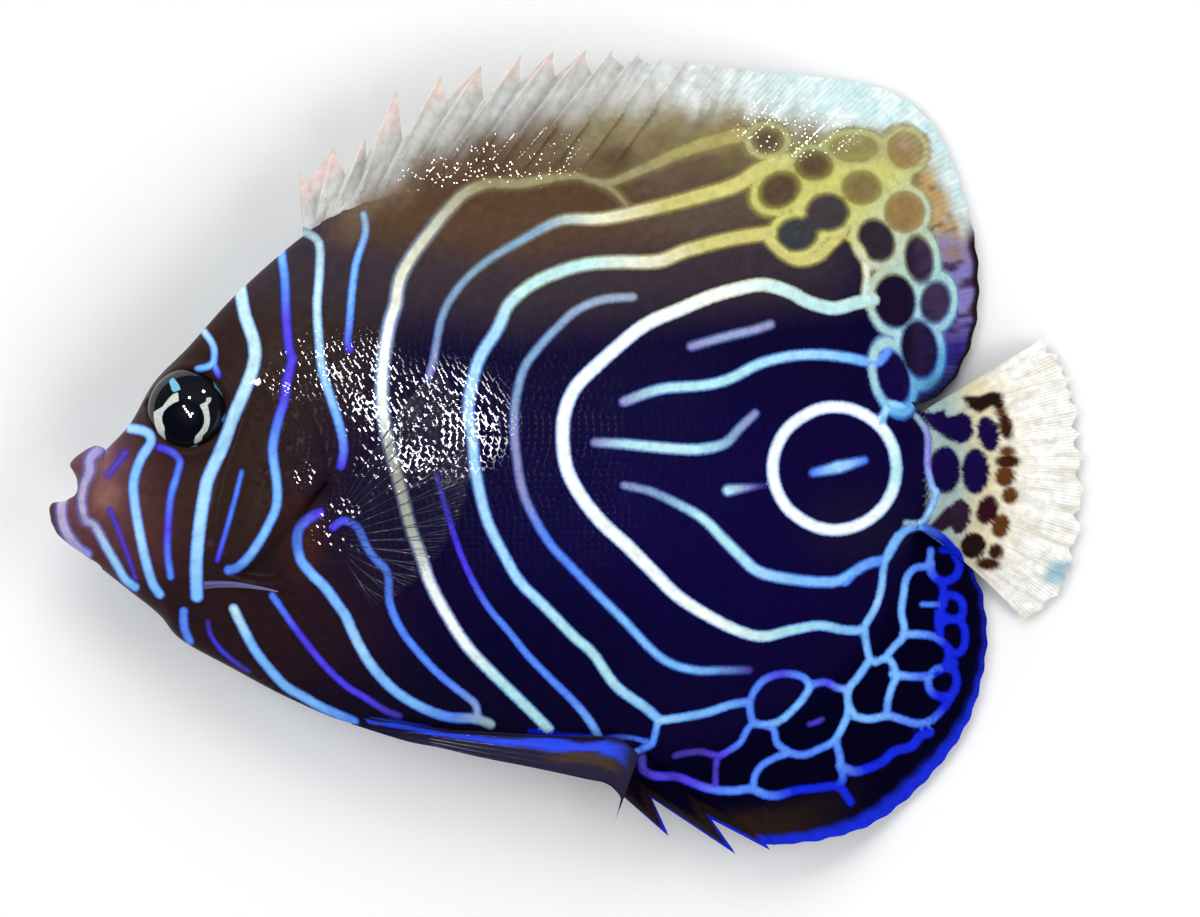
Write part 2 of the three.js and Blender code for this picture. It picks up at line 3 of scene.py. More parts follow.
import bmesh
import bpy
import numpy as np
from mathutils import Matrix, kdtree


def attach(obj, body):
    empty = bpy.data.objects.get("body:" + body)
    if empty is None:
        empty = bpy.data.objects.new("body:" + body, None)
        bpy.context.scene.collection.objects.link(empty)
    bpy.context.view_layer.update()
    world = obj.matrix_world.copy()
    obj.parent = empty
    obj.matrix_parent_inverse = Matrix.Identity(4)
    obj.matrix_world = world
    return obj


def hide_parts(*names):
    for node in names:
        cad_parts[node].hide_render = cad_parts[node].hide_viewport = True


# Young emperor angelfish, life size, lying on its right side.
# Shapes are worked out in millimetres, x from snout to tail, y towards the back,
# z out of the left flank, and turned into metres when a mesh is made.
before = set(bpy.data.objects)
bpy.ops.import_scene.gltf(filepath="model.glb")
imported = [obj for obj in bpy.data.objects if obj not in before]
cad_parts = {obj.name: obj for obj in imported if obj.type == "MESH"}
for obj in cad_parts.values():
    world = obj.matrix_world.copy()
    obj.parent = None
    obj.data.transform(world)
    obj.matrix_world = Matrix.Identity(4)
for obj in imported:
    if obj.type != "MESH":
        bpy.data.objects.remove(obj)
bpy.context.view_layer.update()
mm = 0.001
print("frame loaded,", len(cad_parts), "nodes")

# camera, straight over the fish and far off
cameraSet = {"height": 0.95, "sharpAt": 0.007, "middle": (0.00332, -0.00073), "width": 0.12435}
cameraData = bpy.data.cameras.new("camera")
farOff = cameraSet["height"] - cameraSet["sharpAt"]
cameraData.lens = cameraData.sensor_width * farOff / cameraSet["width"]
camera = bpy.data.objects.new("camera", cameraData)
camera.location = (*cameraSet["middle"], cameraSet["height"])
bpy.context.scene.collection.objects.link(camera)
bpy.context.scene.camera = camera

def smooth(value, low, high):
    t = np.clip((np.asarray(value, float) - low) / (high - low), 0, 1)
    return t * t * (3 - 2 * t)

def mix(a, b, t):
    return a + (b - a) * t

def unit(vectors):
    return vectors / np.maximum(np.linalg.norm(vectors, axis=-1, keepdims=True), 1e-9)

def bulge(away, height, width, power=2):
    return height * np.exp(-((away / width) ** power))

def spline(points, places):
    # smooth curve through points, places run from 0 to 1 and are spread evenly over them
    points = np.asarray(points, float)
    last = len(points) - 1
    p = np.clip(np.asarray(places, float), 0, 1) * last
    i = np.minimum(p.astype(int), last - 1)
    t = (p - i)[..., None]
    p0, p1, p2 = points[np.maximum(i - 1, 0)], points[i], points[i + 1]
    p3 = points[np.minimum(i + 2, last)]
    v0, v1 = (p2 - p0) / 2, (p3 - p1) / 2
    return (2 * p1 - 2 * p2 + v0 + v1) * t**3 + (3 * p2 - 3 * p1 - 2 * v0 - v1) * t**2 + v0 * t + p1

def lengths(points):
    steps = np.linalg.norm(np.diff(points, axis=0), axis=1)
    return np.concatenate([[0], np.cumsum(steps)])

def evenSpline(points, share, steps=1500):
    # the same, walked at an even pace
    dense = spline(points, np.linspace(0, 1, steps))
    run = lengths(dense)
    way = np.clip(share, 0, 1) * run[-1]
    return np.stack([np.interp(way, run, column) for column in dense.T], -1)

# body: sections from the snout to the end of the tail base: point on the back, point on the
# belly, greatest half thickness, half thickness at both edges, roundness towards them.
sections = [
    ((-47.9, 0.1), (-48.2, -12.2), 3.9, (0.3, 0.3), (0.5, 0.5)),
    ((-45.3, 2.9), (-45.4, -14.4), 4.9, (0.3, 0.3), (0.5, 0.5)),
    ((-42.8, 7.2), (-42.3, -16.9), 5.7, (0.3, 0.3), (0.5, 0.5)),
    ((-39.3, 10.8), (-40.0, -19.5), 6.3, (0.4, 0.4), (0.5, 0.55)),
    ((-34.3, 16.3), (-34.8, -22.4), 6.9, (0.5, 0.5), (0.58, 0.6)),
    ((-27.5, 22.2), (-28.7, -25.6), 7.5, (0.9, 0.8), (0.72, 0.64)),
    ((-22.4, 25.2), (-22.1, -28.2), 7.8, (1.1, 1.0), (0.85, 0.68)),
    ((-15.3, 27.0), (-14.3, -29.0), 7.95, (1.2, 1.2), (0.92, 0.72)),
    ((-5.0, 28.0), (-5.0, -29.4), 8.05, (1.2, 1.2), (0.95, 0.78)),
    ((6.0, 28.2), (5.0, -29.7), 7.8, (1.2, 1.2), (0.95, 0.88)),
    ((17.4, 26.6), (14.5, -27.4), 6.8, (1.2, 1.2), (0.95, 0.95)),
    ((26.0, 22.6), (22.5, -23.4), 5.5, (1.1, 1.1), (0.92, 0.92)),
    ((31.3, 17.0), (28.8, -18.4), 4.5, (1.0, 1.0), (0.88, 0.88)),
    ((34.2, 10.5), (33.0, -13.0), 3.7, (0.8, 0.8), (0.8, 0.8)),
    ((35.5, 5.4), (35.3, -8.9), 3.2, (0.5, 0.5), (0.7, 0.7)),
    ((36.6, 4.0), (36.6, -8.0), 2.9, (0.3, 0.3), (0.6, 0.6)),
]
body = {
    "stations": 300, "ring": 172, "ringBend": 0.35, "finRows": 40, "roundness": 2.4,
    "headPace": 1.25, "headTo": (-34, -20),
    "midHeight": 7.85, "tailSag": 1.9, "sagFrom": 6, "sagTo": 37,
    "coatDepth": 0.05, "floorSpace": 0.03, "leastThickness": 0.15,
}
backPoints = np.array([s[0] for s in sections])
bellyPoints = np.array([s[1] for s in sections])
shape = np.array([[s[2], *s[3], *s[4]] for s in sections])

def middleAt(x):
    return body["midHeight"] - body["tailSag"] * smooth(x, body["sagFrom"], body["sagTo"])

def sectionValues(u):
    place = np.clip(u, 0, 1) * (len(sections) - 1)
    return [np.interp(place, range(len(sections)), shape[:, c]) for c in range(5)]

def halfThickness(u, v):
    half, backEdge, bellyEdge, backBlunt, bellyBlunt = sectionValues(u)
    edge = np.where(v > 0, backEdge, bellyEdge)
    blunt = np.where(v > 0, backBlunt, bellyBlunt)
    return edge + (half - edge) * (1 - np.minimum(np.abs(v), 1) ** body["roundness"]) ** blunt

# median fins
partOf = {"body": 0, "dorsal": 1, "anal": 2, "tail": 3}
dorsalFin = {
    "part": partOf["dorsal"], "rootX": (-27.3, 4.5, 4.9, 35.4), "spineRim": (7.2, 3.2), "rayRim": (3.1, 0.62, 0.62),
    "rays": 19, "branches": 5, "scallop": 0.22,
    "places": [0.02 + 0.95 * (i / 12) ** 1.25 for i in range(13)],
    "tips": [
        (-27.9, 29.1), (-24.3, 31.5), (-21.1, 32.4), (-17.8, 37.5), (-13.1, 39.1), (-9.0, 40.1), (-4.8, 41.2),
        (-1.5, 41.6), (1.9, 41.8), (4.7, 41.8), (7.5, 41.6), (9.9, 41.2), (12.4, 40.6),
    ],
    "notches": [
        (-27.6, 24.6), (-26.0, 25.6), (-23.1, 28.6), (-21.0, 29.4), (-17.2, 32.3), (-12.4, 35.4), (-8.8, 36.6),
        (-5.1, 37.4), (-1.2, 38.3), (2.4, 39.2), (5.8, 40.0), (8.5, 40.3), (11.2, 40.0),
    ],
    "rim": [
        (13.4, 40.3), (19.5, 39.7), (26.5, 39.1), (33.8, 37.5), (38.4, 33.6), (41.3, 26.7), (42.8, 19.9),
        (42.5, 12.7), (40.1, 7.2), (37.2, 5.0),
    ],
}
analFin = {
    "part": partOf["anal"], "rootX": (1.0, 8.6, 8.6, 35.3), "spineRim": (6.0, 4.6), "rayRim": (4.6, 0.62, 2.4),
    "rays": 18, "branches": 5, "scallop": 0.2, "places": (0.08, 0.4, 0.72),
    "tips": [(10.4, -39.9), (17.4, -41.8), (21.0, -41.4)],
    "notches": [(4.6, -34.8), (8.7, -36.0), (14.9, -38.2)],
    "rim": [
        (22.0, -40.9), (27.2, -40.3), (32.6, -38.4), (37.9, -33.8), (41.9, -28.0), (43.7, -20.9),
        (43.4, -15.4), (42.4, -12.8), (41.0, -10.6), (39.2, -8.9), (37.4, -8.1),
    ],
}
tailFin = {
    "rays": 15, "branches": 6, "fray": 1.1, "rimHeight": 0.62, "thin": 0.12, "bow": 0.12, "sink": 0.8, "seed": 4,
    "rim": [(49.9, 12.0), (52.6, 7.0), (53.7, 1.0), (53.7, -5.0), (52.8, -11.5), (50.6, -15.6), (47.5, -17.5)],
}
snout = {
    "rows": 30, "edge": 0.16, "reach": 0.45, "blunt": 0.5, "fullest": 2.9, "mouth": 0.47, "roundness": 2.2,
    "rim": [
        (-48.0, 0.35), (-48.7, 0.6), (-49.1, 0.55), (-49.6, 0.35), (-50.1, 0.05), (-50.6, -0.3), (-51.1, -0.7),
        (-51.5, -1.2), (-51.5, -1.6), (-51.2, -2.1), (-50.9, -2.7), (-50.8, -3.3), (-50.8, -3.9), (-51.0, -4.5),
        (-51.3, -4.7), (-51.7, -4.9), (-52.0, -5.1), (-52.7, -5.2), (-53.3, -5.3), (-53.6, -5.6), (-53.7, -6.1),
        (-53.6, -6.7), (-53.5, -7.3), (-53.2, -7.9), (-52.9, -8.5), (-52.4, -9.0), (-51.9, -9.4), (-51.3, -9.9),
        (-50.8, -10.2), (-50.1, -10.7), (-49.5, -11.1), (-48.8, -11.5), (-48.3, -11.9), (-48.22, -12.12),
    ],
}
# the skin behind a spine's tip sinks for webReach of the way to the next spine
finSkin = {
    "thin": 0.15, "spineRidge": 0.34, "sideRidge": 0.45, "rayRidge": 0.13, "lastPlace": 1.02,
    "tipDrop": 0.05, "behindTip": 0.3, "webReach": 0.62, "sag": 1.2,
}

def stationShares():
    # stations lie closer together on the head
    u = np.linspace(0, 1, 4001)
    back, belly = spline(backPoints, u), spline(bellyPoints, u)
    steps = np.maximum(*[np.linalg.norm(np.diff(line, axis=0), axis=1) for line in (back, belly)])
    steps = steps * mix(body["headPace"], 1.0, smooth(back[1:, 0], *body["headTo"]))
    run = np.concatenate([[0], np.cumsum(steps)])
    return np.interp(np.linspace(0, run[-1], body["stations"] + 1), run, u)

# The side view of the whole fish is one plane net of quads, which both flanks share.
# A point of it has x, y, middle height, half thickness, part, way out along the fin,
# ray place, and its place on the unwrapped skin (along, across).
netPoints, netGrids = [], []
unwrap = {"bodyStart": 0.07, "bodyEnd": 0.84, "belly": 0.2, "back": 0.78, "low": 0.01, "high": 0.99}
stations = stationShares()
ringSteps = np.linspace(-1, 1, body["ring"] + 1)
ring = mix(ringSteps, np.sin(ringSteps * math.pi / 2), body["ringBend"])
ringAcross = mix(unwrap["belly"], unwrap["back"], (ringSteps + 1) / 2)
backLine, bellyLine = spline(backPoints, stations), spline(bellyPoints, stations)
finSteps = np.linspace(0, 1, body["finRows"] + 1)[None, :]

def addPoints(values):
    # columns x rows x values in, the numbers of the points out
    columns, rows = values.shape[:2]
    start = sum(len(points) for points in netPoints)
    netPoints.append(values.reshape(columns * rows, -1))
    return np.arange(start, start + columns * rows).reshape(columns, rows)

def addGrid(edgeIds, values):
    # a grid that has its first points in common with an edge of the body
    netGrids.append(np.concatenate([edgeIds[:, None], addPoints(values[:, 1:])], 1))

def quadsOf(ids, places):
    # the quads of a grid of point numbers, all of them facing up
    q = np.stack([ids[:-1, :-1], ids[1:, :-1], ids[1:, 1:], ids[:-1, 1:]], -1).reshape(-1, 4)
    (ax, ay), (bx, by), (cx, cy) = [places[q[:, corner]].T for corner in range(3)]
    turn = (bx - ax) * (cy - ay) - (by - ay) * (cx - ax)
    return q[:, ::-1] if turn.sum() < 0 else q

def netValues(x, y, middle, half, along, across, part=0, out=0, ray=0):
    return np.stack(np.broadcast_arrays(x, y, middle, half, part, out, ray, along, across), -1)

def between(start, end, t):
    # x and y on the way from one line to the other
    return [mix(start[:, None, axis], end[:, None, axis], t) for axis in (0, 1)]

def endOfBody(station):
    return mix(bellyLine[station], backLine[station], (ring[:, None] + 1) / 2)

def bodyGrid():
    u, v = stations[:, None], ring[None, :]
    x, y = between(bellyLine, backLine, (v + 1) / 2)
    half = halfThickness(u + 0 * v, v + 0 * u)
    along = mix(unwrap["bodyStart"], unwrap["bodyEnd"], u)
    return netValues(x, y, middleAt(x), half, along, ringAcross[None, :])

def evenIndex(values, target):
    i = int(np.argmin(np.abs(values - target)))
    return i + i % 2

def rayCrest(share, rays):
    # 1 on each ray, -1 between two rays
    return np.cos(2 * math.pi * (share * rays - 0.5))

def scalloped(root, rim, crest, depth):
    # the rim is drawn in between the rays
    return rim + unit(root - rim) * (depth * (0.5 - 0.5 * crest))[..., None]

def thinning(rootHalf, thin, t, ridge):
    return thin + (rootHalf - thin) * (1 - t) ** 3 + ridge

def spinyEdge(fin, root, way):
    # rim and ridge of the spiny part, each spine on the column nearest to its place
    keys, rims, ridges = [], [], {}
    for i, (tip, notch) in enumerate(zip(fin["tips"], fin["notches"])):
        isLast = i + 1 == len(fin["places"])
        nextNotch = np.array(fin["rim"][0] if isLast else fin["notches"][i + 1])
        nextPlace = finSkin["lastPlace"] if isLast else fin["places"][i + 1]
        c, nextSpine = [int(np.argmin(np.abs(way - place))) for place in (fin["places"][i], nextPlace)]
        behind = mix(np.array(tip), root[c], finSkin["tipDrop"]) + np.array([finSkin["behindTip"], 0])
        keys += [c - 1, c, c + 1, c + 1 + finSkin["webReach"] * max(nextSpine - c - 1, 1)]
        rims += [notch, tip, behind, mix(behind, nextNotch, finSkin["webReach"])]
        ridges.update({c - 1: finSkin["sideRidge"], c: 1.0, c + 1: finSkin["sideRidge"]})
    order = np.argsort(keys, kind="stable")
    keys, rims = np.array(keys, float)[order], np.array(rims)[order]
    steps = np.arange(len(root))
    rim = np.stack([np.interp(steps, keys, rims[:, axis]) for axis in (0, 1)], -1)
    return rim, np.array([ridges.get(int(s), 0.0) for s in steps])

def medianFin(fin, line):
    # the columns of the fin are stations of the body
    first, spinesEnd, raysStart, last = [evenIndex(line[:, 0], x) for x in fin["rootX"]]
    run = lengths(line)
    column = np.arange(first, last + 1)
    root, isSoft, t = line[column], column > raysStart, finSteps
    way = (run[column] - run[first]) / (run[spinesEnd] - run[first])
    share = np.clip((run[column] - run[raysStart]) / (run[last] - run[raysStart]), 0, 1)
    crest = rayCrest(share, fin["rays"])
    spinyRim, spineRidge = spinyEdge(fin, root, way)
    softRim = scalloped(root, evenSpline(fin["rim"], share), crest, fin["scallop"])
    rim = np.where(isSoft[:, None], softRim, spinyRim)
    ridge = np.where(isSoft, finSkin["rayRidge"] * smooth(crest, -0.2, 1), spineRidge * finSkin["spineRidge"])
    front, top, rear = fin["rayRim"]
    softHigh = mix(mix(front, top, smooth(share, 0, 0.3)), rear, smooth(share, 0.75, 1))
    rimHigh = np.where(isSoft, softHigh, mix(*fin["spineRim"], np.clip(way, 0, 1)))
    isBack = fin["part"] == partOf["dorsal"]
    rootHalf = sectionValues(stations[column])[1 if isBack else 2][:, None]
    x, y = between(root, rim, t)
    middle = mix(middleAt(root[:, 0])[:, None], rimHigh[:, None], t ** finSkin["sag"])
    ridge = ridge[:, None] * (1 - 0.75 * t) * smooth(t, 0.02, 0.25)
    half = thinning(rootHalf, finSkin["thin"], t, ridge)
    ray = (share * fin["rays"])[:, None] * fin["branches"]
    along = mix(unwrap["bodyStart"], unwrap["bodyEnd"], stations[column])[:, None]
    across = mix(unwrap["back"], unwrap["high"], t) if isBack else mix(unwrap["belly"], unwrap["low"], t)
    return first, last, netValues(x, y, middle, half, along, across, fin["part"], t, ray)

def tailGrid():
    share, t = (1 - ring) / 2, finSteps
    root, rim = endOfBody(-1), evenSpline(tailFin["rim"], share)
    draw = np.random.default_rng(tailFin["seed"])
    frayAt = np.linspace(0, 1, tailFin["rays"] * 3 + 1)
    fray = np.interp(share, frayAt, draw.random(len(frayAt)) ** 2) * tailFin["fray"]
    rim = rim + unit(root - rim) * fray[:, None]
    x, y = between(root, rim, t)
    bow = (tailFin["bow"] * share**3)[:, None]
    x = x + (root[:, None, 1] - rim[:, None, 1]) * bow * t * (1 - t)
    y = y + (rim[:, None, 0] - root[:, None, 0]) * bow * t * (1 - t)
    # the lowest rays sink under the fin in front of them
    fall = finSkin["sag"] - tailFin["sink"] * share[:, None] ** 4
    middle = mix(middleAt(root[:, 0])[:, None], tailFin["rimHeight"], t**fall)
    rootHalf = halfThickness(np.ones(len(ring)), ring)[:, None]
    crest = smooth(rayCrest(share, tailFin["rays"]), -0.3, 1)[:, None]
    ridge = finSkin["rayRidge"] * crest * smooth(t, 0.05, 0.3) * (1 - 0.6 * t)
    half = thinning(rootHalf, tailFin["thin"], t, ridge)
    ray = (share * tailFin["rays"])[:, None] * tailFin["branches"]
    along = mix(unwrap["bodyEnd"], unwrap["high"], t)
    return netValues(x, y, middle, half, along, ringAcross[:, None], partOf["tail"], t, ray)

def snoutGrid():
    # both lips, from the first station forwards
    share, root = (1 - ring) / 2, endOfBody(0)
    # the notch of the mouth is met a little before half way
    rim = evenSpline(snout["rim"], np.interp(share, [0, 0.5, 1], [0, snout["mouth"], 1]))
    t = np.linspace(0, 1, snout["rows"] + 1)[None, :]
    t = mix(t, 1 - (1 - t) ** 2, 0.5)
    x, y = between(root, rim, t)
    rootHalf = halfThickness(np.zeros(len(ring)), ring)[:, None]
    reach = np.linalg.norm(rim - root, axis=1)[:, None]
    forward = smooth(t, 0, snout["reach"]) * smooth(reach, 0, 2)
    full = mix(rootHalf, np.minimum(snout["fullest"], rootHalf), forward)
    half = snout["edge"] + (full - snout["edge"]) * (1 - t ** snout["roundness"]) ** snout["blunt"]
    along = mix(unwrap["bodyStart"], unwrap["low"], t)
    return netValues(x, y, middleAt(x), half, along, ringAcross[:, None])

bodyIds = addPoints(bodyGrid())
netGrids.append(bodyIds)
for fin, line, edge in ((dorsalFin, backLine, -1), (analFin, bellyLine, 0)):
    first, last, values = medianFin(fin, line)
    addGrid(bodyIds[first : last + 1, edge], values)
addGrid(bodyIds[-1], tailGrid())
addGrid(bodyIds[0], snoutGrid())
fields = np.concatenate(netPoints)
flat, unwrapped = fields[:, :2], fields[:, 7:9]
middleHeight, plainHalf, partAt, outAt, rayAt = fields[:, 2:7].T
print("side view drawn,", len(flat), "points")

# relief of the head, where a groove, rim or fold starts with its height and its width
head = {
    "gillEdge": [
        (-30.6, 7.4), (-27.6, 5.6), (-25.9, 2.6), (-24.9, -0.6), (-25.0, -2.6), (-26.4, -4.2), (-28.9, -6.8),
        (-30.9, -9.6), (-33.0, -11.6), (-35.6, -12.2),
    ],
    "cheekEdge": [(-36.5, -9.0), (-35.4, -3.4), (-33.8, 2.0), (-32.6, 5.8)], "cheekGroove": (-0.22, 0.45),
    "shoulderEdge": [(-24.3, -3.4), (-25.9, -5.6), (-27.3, -8.2), (-27.6, -10.8), (-29.6, -13.4), (-33.4, -13.2)],
    "coverLift": 0.34, "coverFade": 3.5, "slitDepth": 1.0, "slitFrom": 21,
    "eye": (-38.9, 4.25), "lidRadius": 4.35, "socketDepth": 1.4, "lid": (0.5, 0.55), "orbit": (0.3, 6.5, 4),
    "nostrils": [(-43.3, 5.0, 0.42), (-42.5, 6.2, 0.5)], "nostrilRim": (0.16, 0.18), "nostrilDepth": 0.5,
    "mouthLine": [(-50.9, -4.6), (-50.5, -5.5), (-50.3, -6.6), (-49.8, -7.5), (-49.2, -7.9)],
    "mouthGroove": (-0.5, 0.28),
    "folds": [
        (0.22, 0.5, [(-49.0, 0.2), (-49.6, -1.9), (-49.3, -3.8), (-49.9, -5.6), (-49.7, -7.2)]),
        (-0.14, 0.35, [(-48.4, -1.0), (-48.6, -3.4), (-49.2, -4.8), (-49.2, -6.6)]),
        (0.2, 0.6, [(-47.6, -0.6), (-47.9, -3.2), (-48.0, -6.4)]),
        (0.2, 0.5, [(-52.4, -5.5), (-52.5, -6.8), (-52.2, -8.2), (-51.3, -9.3), (-50.2, -10.2)]),
        (-0.1, 0.5, [(-51.6, -5.8), (-51.5, -7.2), (-50.9, -8.4), (-49.8, -9.6)]),
    ],
}

def lineGap(points, line):
    # distance to a polyline, and the share of the way along it
    line = np.asarray(line, float)
    run = lengths(line)
    best = np.full(len(points), 1e9)
    along = np.zeros(len(points))
    for i in range(len(line) - 1):
        a, d = line[i], line[i + 1] - line[i]
        size = max(float(d @ d), 1e-9)
        t = np.clip(((points - a) @ d) / size, 0, 1)
        gap = np.linalg.norm(points - a - t[:, None] * d, axis=1)
        near = gap < best
        best = np.where(near, gap, best)
        along = np.where(near, (run[i] + t * (run[i + 1] - run[i])) / run[-1], along)
    return best, along

def inside(points, polygon):
    polygon = np.asarray(polygon, float)
    found = np.zeros(len(points), bool)
    for (x1, y1), (x2, y2) in zip(polygon, np.roll(polygon, -1, axis=0)):
        crosses = (y1 > points[:, 1]) != (y2 > points[:, 1])
        with np.errstate(divide="ignore", invalid="ignore"):
            at = (x2 - x1) * (points[:, 1] - y1) / (y2 - y1) + x1
        found ^= crosses & (points[:, 0] < at)
    return found

def areaGap(points, polygon):
    # distance to the edge of a closed shape, below nought inside it
    gap, _ = lineGap(points, [*polygon, polygon[0]])
    return np.where(inside(points, polygon), -gap, gap)

gillCurve = spline(head["gillEdge"], np.linspace(0, 1, 50))
cheekCurve = spline(head["cheekEdge"], np.linspace(0, 1, 16))
shoulderCurve = spline(head["shoulderEdge"], np.linspace(0, 1, 30))
coverShape = np.concatenate([gillCurve, cheekCurve])
slitShape = np.concatenate([gillCurve[head["slitFrom"] :], shoulderCurve[::-1]])

def reliefAt(points):
    # how far the skin stands out of the plain body, in mm
    rise = np.zeros(len(points))
    near = points[:, 0] < -20
    p = points[near]
    cover, slit = areaGap(p, coverShape), areaGap(p, slitShape)
    toCheek, toGill, mouth = [lineGap(p, line)[0] for line in (cheekCurve, gillCurve, head["mouthLine"])]
    lift = head["coverLift"] * (1 - smooth(cover, -0.35, 0.05))
    lift *= mix(1, smooth(toCheek, 0, head["coverFade"]), toCheek < toGill)
    lift -= head["slitDepth"] * (1 - smooth(slit, -0.7, 0.1))
    lift += bulge(toCheek, *head["cheekGroove"])
    out, lid = np.linalg.norm(p - np.array(head["eye"]), axis=1), head["lidRadius"]
    lift += bulge(out - lid - 0.15, *head["lid"])
    lift += bulge(out, *head["orbit"])
    lift -= head["socketDepth"] * (1 - smooth(out, lid - 0.9, lid - 0.1))
    for x, y, radius in head["nostrils"]:
        away = np.linalg.norm(p - np.array([x, y]), axis=1)
        lift += bulge(away - radius * 1.25, *head["nostrilRim"])
        lift -= head["nostrilDepth"] * (1 - smooth(away, radius * 0.5, radius * 1.05))
    lift += bulge(mouth, *head["mouthGroove"])
    for height, wide, line in head["folds"]:
        away, along = lineGap(p, spline(line, np.linspace(0, 1, 20)))
        lift += bulge(away, height, wide) * np.sqrt(np.sin(math.pi * mix(0.08, 0.92, along)))
    rise[near] = lift
    return rise

def rumple(points):
    # very slight unevenness of the flesh
    x, y = points[:, 0], points[:, 1]
    waves = [(0.31, 0.17, 0.4), (-0.22, 0.41, 1.9), (0.13, -0.37, 3.1), (0.53, 0.29, 5.0), (-0.61, 0.35, 2.2)]
    return sum(np.sin(a * x + b * y + c) for a, b, c in waves) * 0.022

# heights of both flanks
onBody = partAt == partOf["body"]
upDown = np.interp(unwrapped[:, 1], [unwrap["belly"], unwrap["back"]], [-1, 1])
fromEdge = np.where(onBody, 1 - smooth(np.abs(upDown), 0.9, 1), 0)
raised = (reliefAt(flat) + rumple(flat) - body["coatDepth"]) * fromEdge
leftHeight = middleHeight + plainHalf + raised
rightHeight = np.maximum(middleHeight - plainHalf - raised, body["floorSpace"])
leftHeight = np.maximum(leftHeight, rightHeight + body["leastThickness"])

def skinMesh():
    # the left flank has every point of the net, the right one every second
    fine, coarse = [np.concatenate([quadsOf(g[::step, ::step], flat) for g in netGrids]) for step in (1, 2)]
    used = np.unique(coarse)
    renumber = np.full(len(flat), -1)
    renumber[used] = np.arange(len(used)) + len(flat)
    left = np.column_stack([flat, leftHeight])
    right = np.column_stack([flat, rightHeight])[used]

    def openEdges(quads):
        a = quads.ravel()
        b = np.roll(quads, -1, axis=1).ravel()
        forward = set(zip(a.tolist(), b.tolist()))
        return [(p, q) for p, q in forward if (q, p) not in forward]

    following = dict(openEdges(fine))
    wall = []
    for a, b in openEdges(coarse):
        m = following[a]
        assert following[m] == b, "rim of the two flanks"
        rightA, rightB = int(renumber[a]), int(renumber[b])
        wall += [(a, rightA, m), (m, rightA, rightB), (m, rightB, b)]
    faces = fine.tolist() + renumber[coarse][:, ::-1].tolist() + wall
    vertices = np.concatenate([left, right])
    source = np.concatenate([np.arange(len(flat)), used])
    return vertices, faces, source

def makeObject(name, mesh):
    made = bpy.data.objects.new(name, mesh)
    bpy.context.scene.collection.objects.link(made)
    return made

def smoothFaces(mesh, corners=None):
    # all faces, or only those with so many corners
    mesh.polygons.foreach_set("use_smooth", [corners in (None, len(p.vertices)) for p in mesh.polygons])

def makeMesh(name, vertices, faces, edges=(), scale=mm):
    mesh = bpy.data.meshes.new(name)
    mesh.from_pydata((np.asarray(vertices) * scale).tolist(), edges, faces)
    mesh.update()
    smoothFaces(mesh)
    return mesh

def facesOut(mesh):
    bm = bmesh.new()
    bm.from_mesh(mesh)
    bmesh.ops.recalc_face_normals(bm, faces=bm.faces)
    bm.to_mesh(mesh)
    bm.free()

def triangles(mesh):
    return sum(len(p.vertices) - 2 for p in mesh.polygons)

valueKinds = {"FLOAT": ("value", 1), "FLOAT_VECTOR": ("vector", 3), "FLOAT_COLOR": ("color", 4)}

def setValues(mesh, name, values, kind="FLOAT"):
    made = mesh.attributes.new(name, kind, "POINT")
    made.data.foreach_set(valueKinds[kind][0], np.asarray(values, np.float32).ravel())

def setColours(mesh, name, colours):
    setValues(mesh, name, np.column_stack([colours, np.ones(len(colours))]), "FLOAT_COLOR")

def getValues(mesh, name):
    key, width = valueKinds[mesh.attributes[name].data_type]
    values = np.zeros(len(mesh.vertices) * width, np.float32)
    mesh.attributes[name].data.foreach_get(key, values)
    return values.reshape(-1, width) if width > 1 else values

# colours, as red, green and blue of 255
tints = {
    "white": (240, 248, 242), "ivory": (226, 226, 200), "greyIvory": (188, 190, 172), "turquoise": (176, 226, 232),
    "paleTurquoise": (190, 228, 230), "iceBlue": (164, 214, 246), "sky": (126, 188, 244), "azure": (92, 142, 238),
    "violet": (88, 70, 222), "dimViolet": (74, 60, 150), "deepBlue": (22, 42, 214), "lilac": (150, 148, 208),
    "lipLilac": (178, 166, 200), "snoutPurple": (92, 68, 178), "mist": (150, 168, 200), "haze": (146, 146, 188),
    "greyBlue": (130, 162, 192), "yellow": (200, 194, 120), "yellowOlive": (164, 156, 96),
    "fadedOlive": (150, 142, 104), "fadedTurquoise": (160, 182, 178), "navy": (20, 8, 62), "slate": (62, 56, 62),
    "umber": (84, 68, 48), "olive": (128, 112, 70), "tan": (150, 122, 76), "slateBlue": (56, 60, 64),
    "slateBlack": (48, 40, 48), "oliveGreen": (142, 132, 80), "ink": (26, 16, 40), "plum": (44, 26, 46),
    "rust": (92, 54, 20), "rustDark": (56, 28, 12), "bark": (34, 18, 16), "bramble": (48, 14, 26),
}

def linear(colour):
    c = np.asarray(colour, float) / 255
    return np.where(c < 0.04045, c / 12.92, ((c + 0.055) / 1.055) ** 2.4)

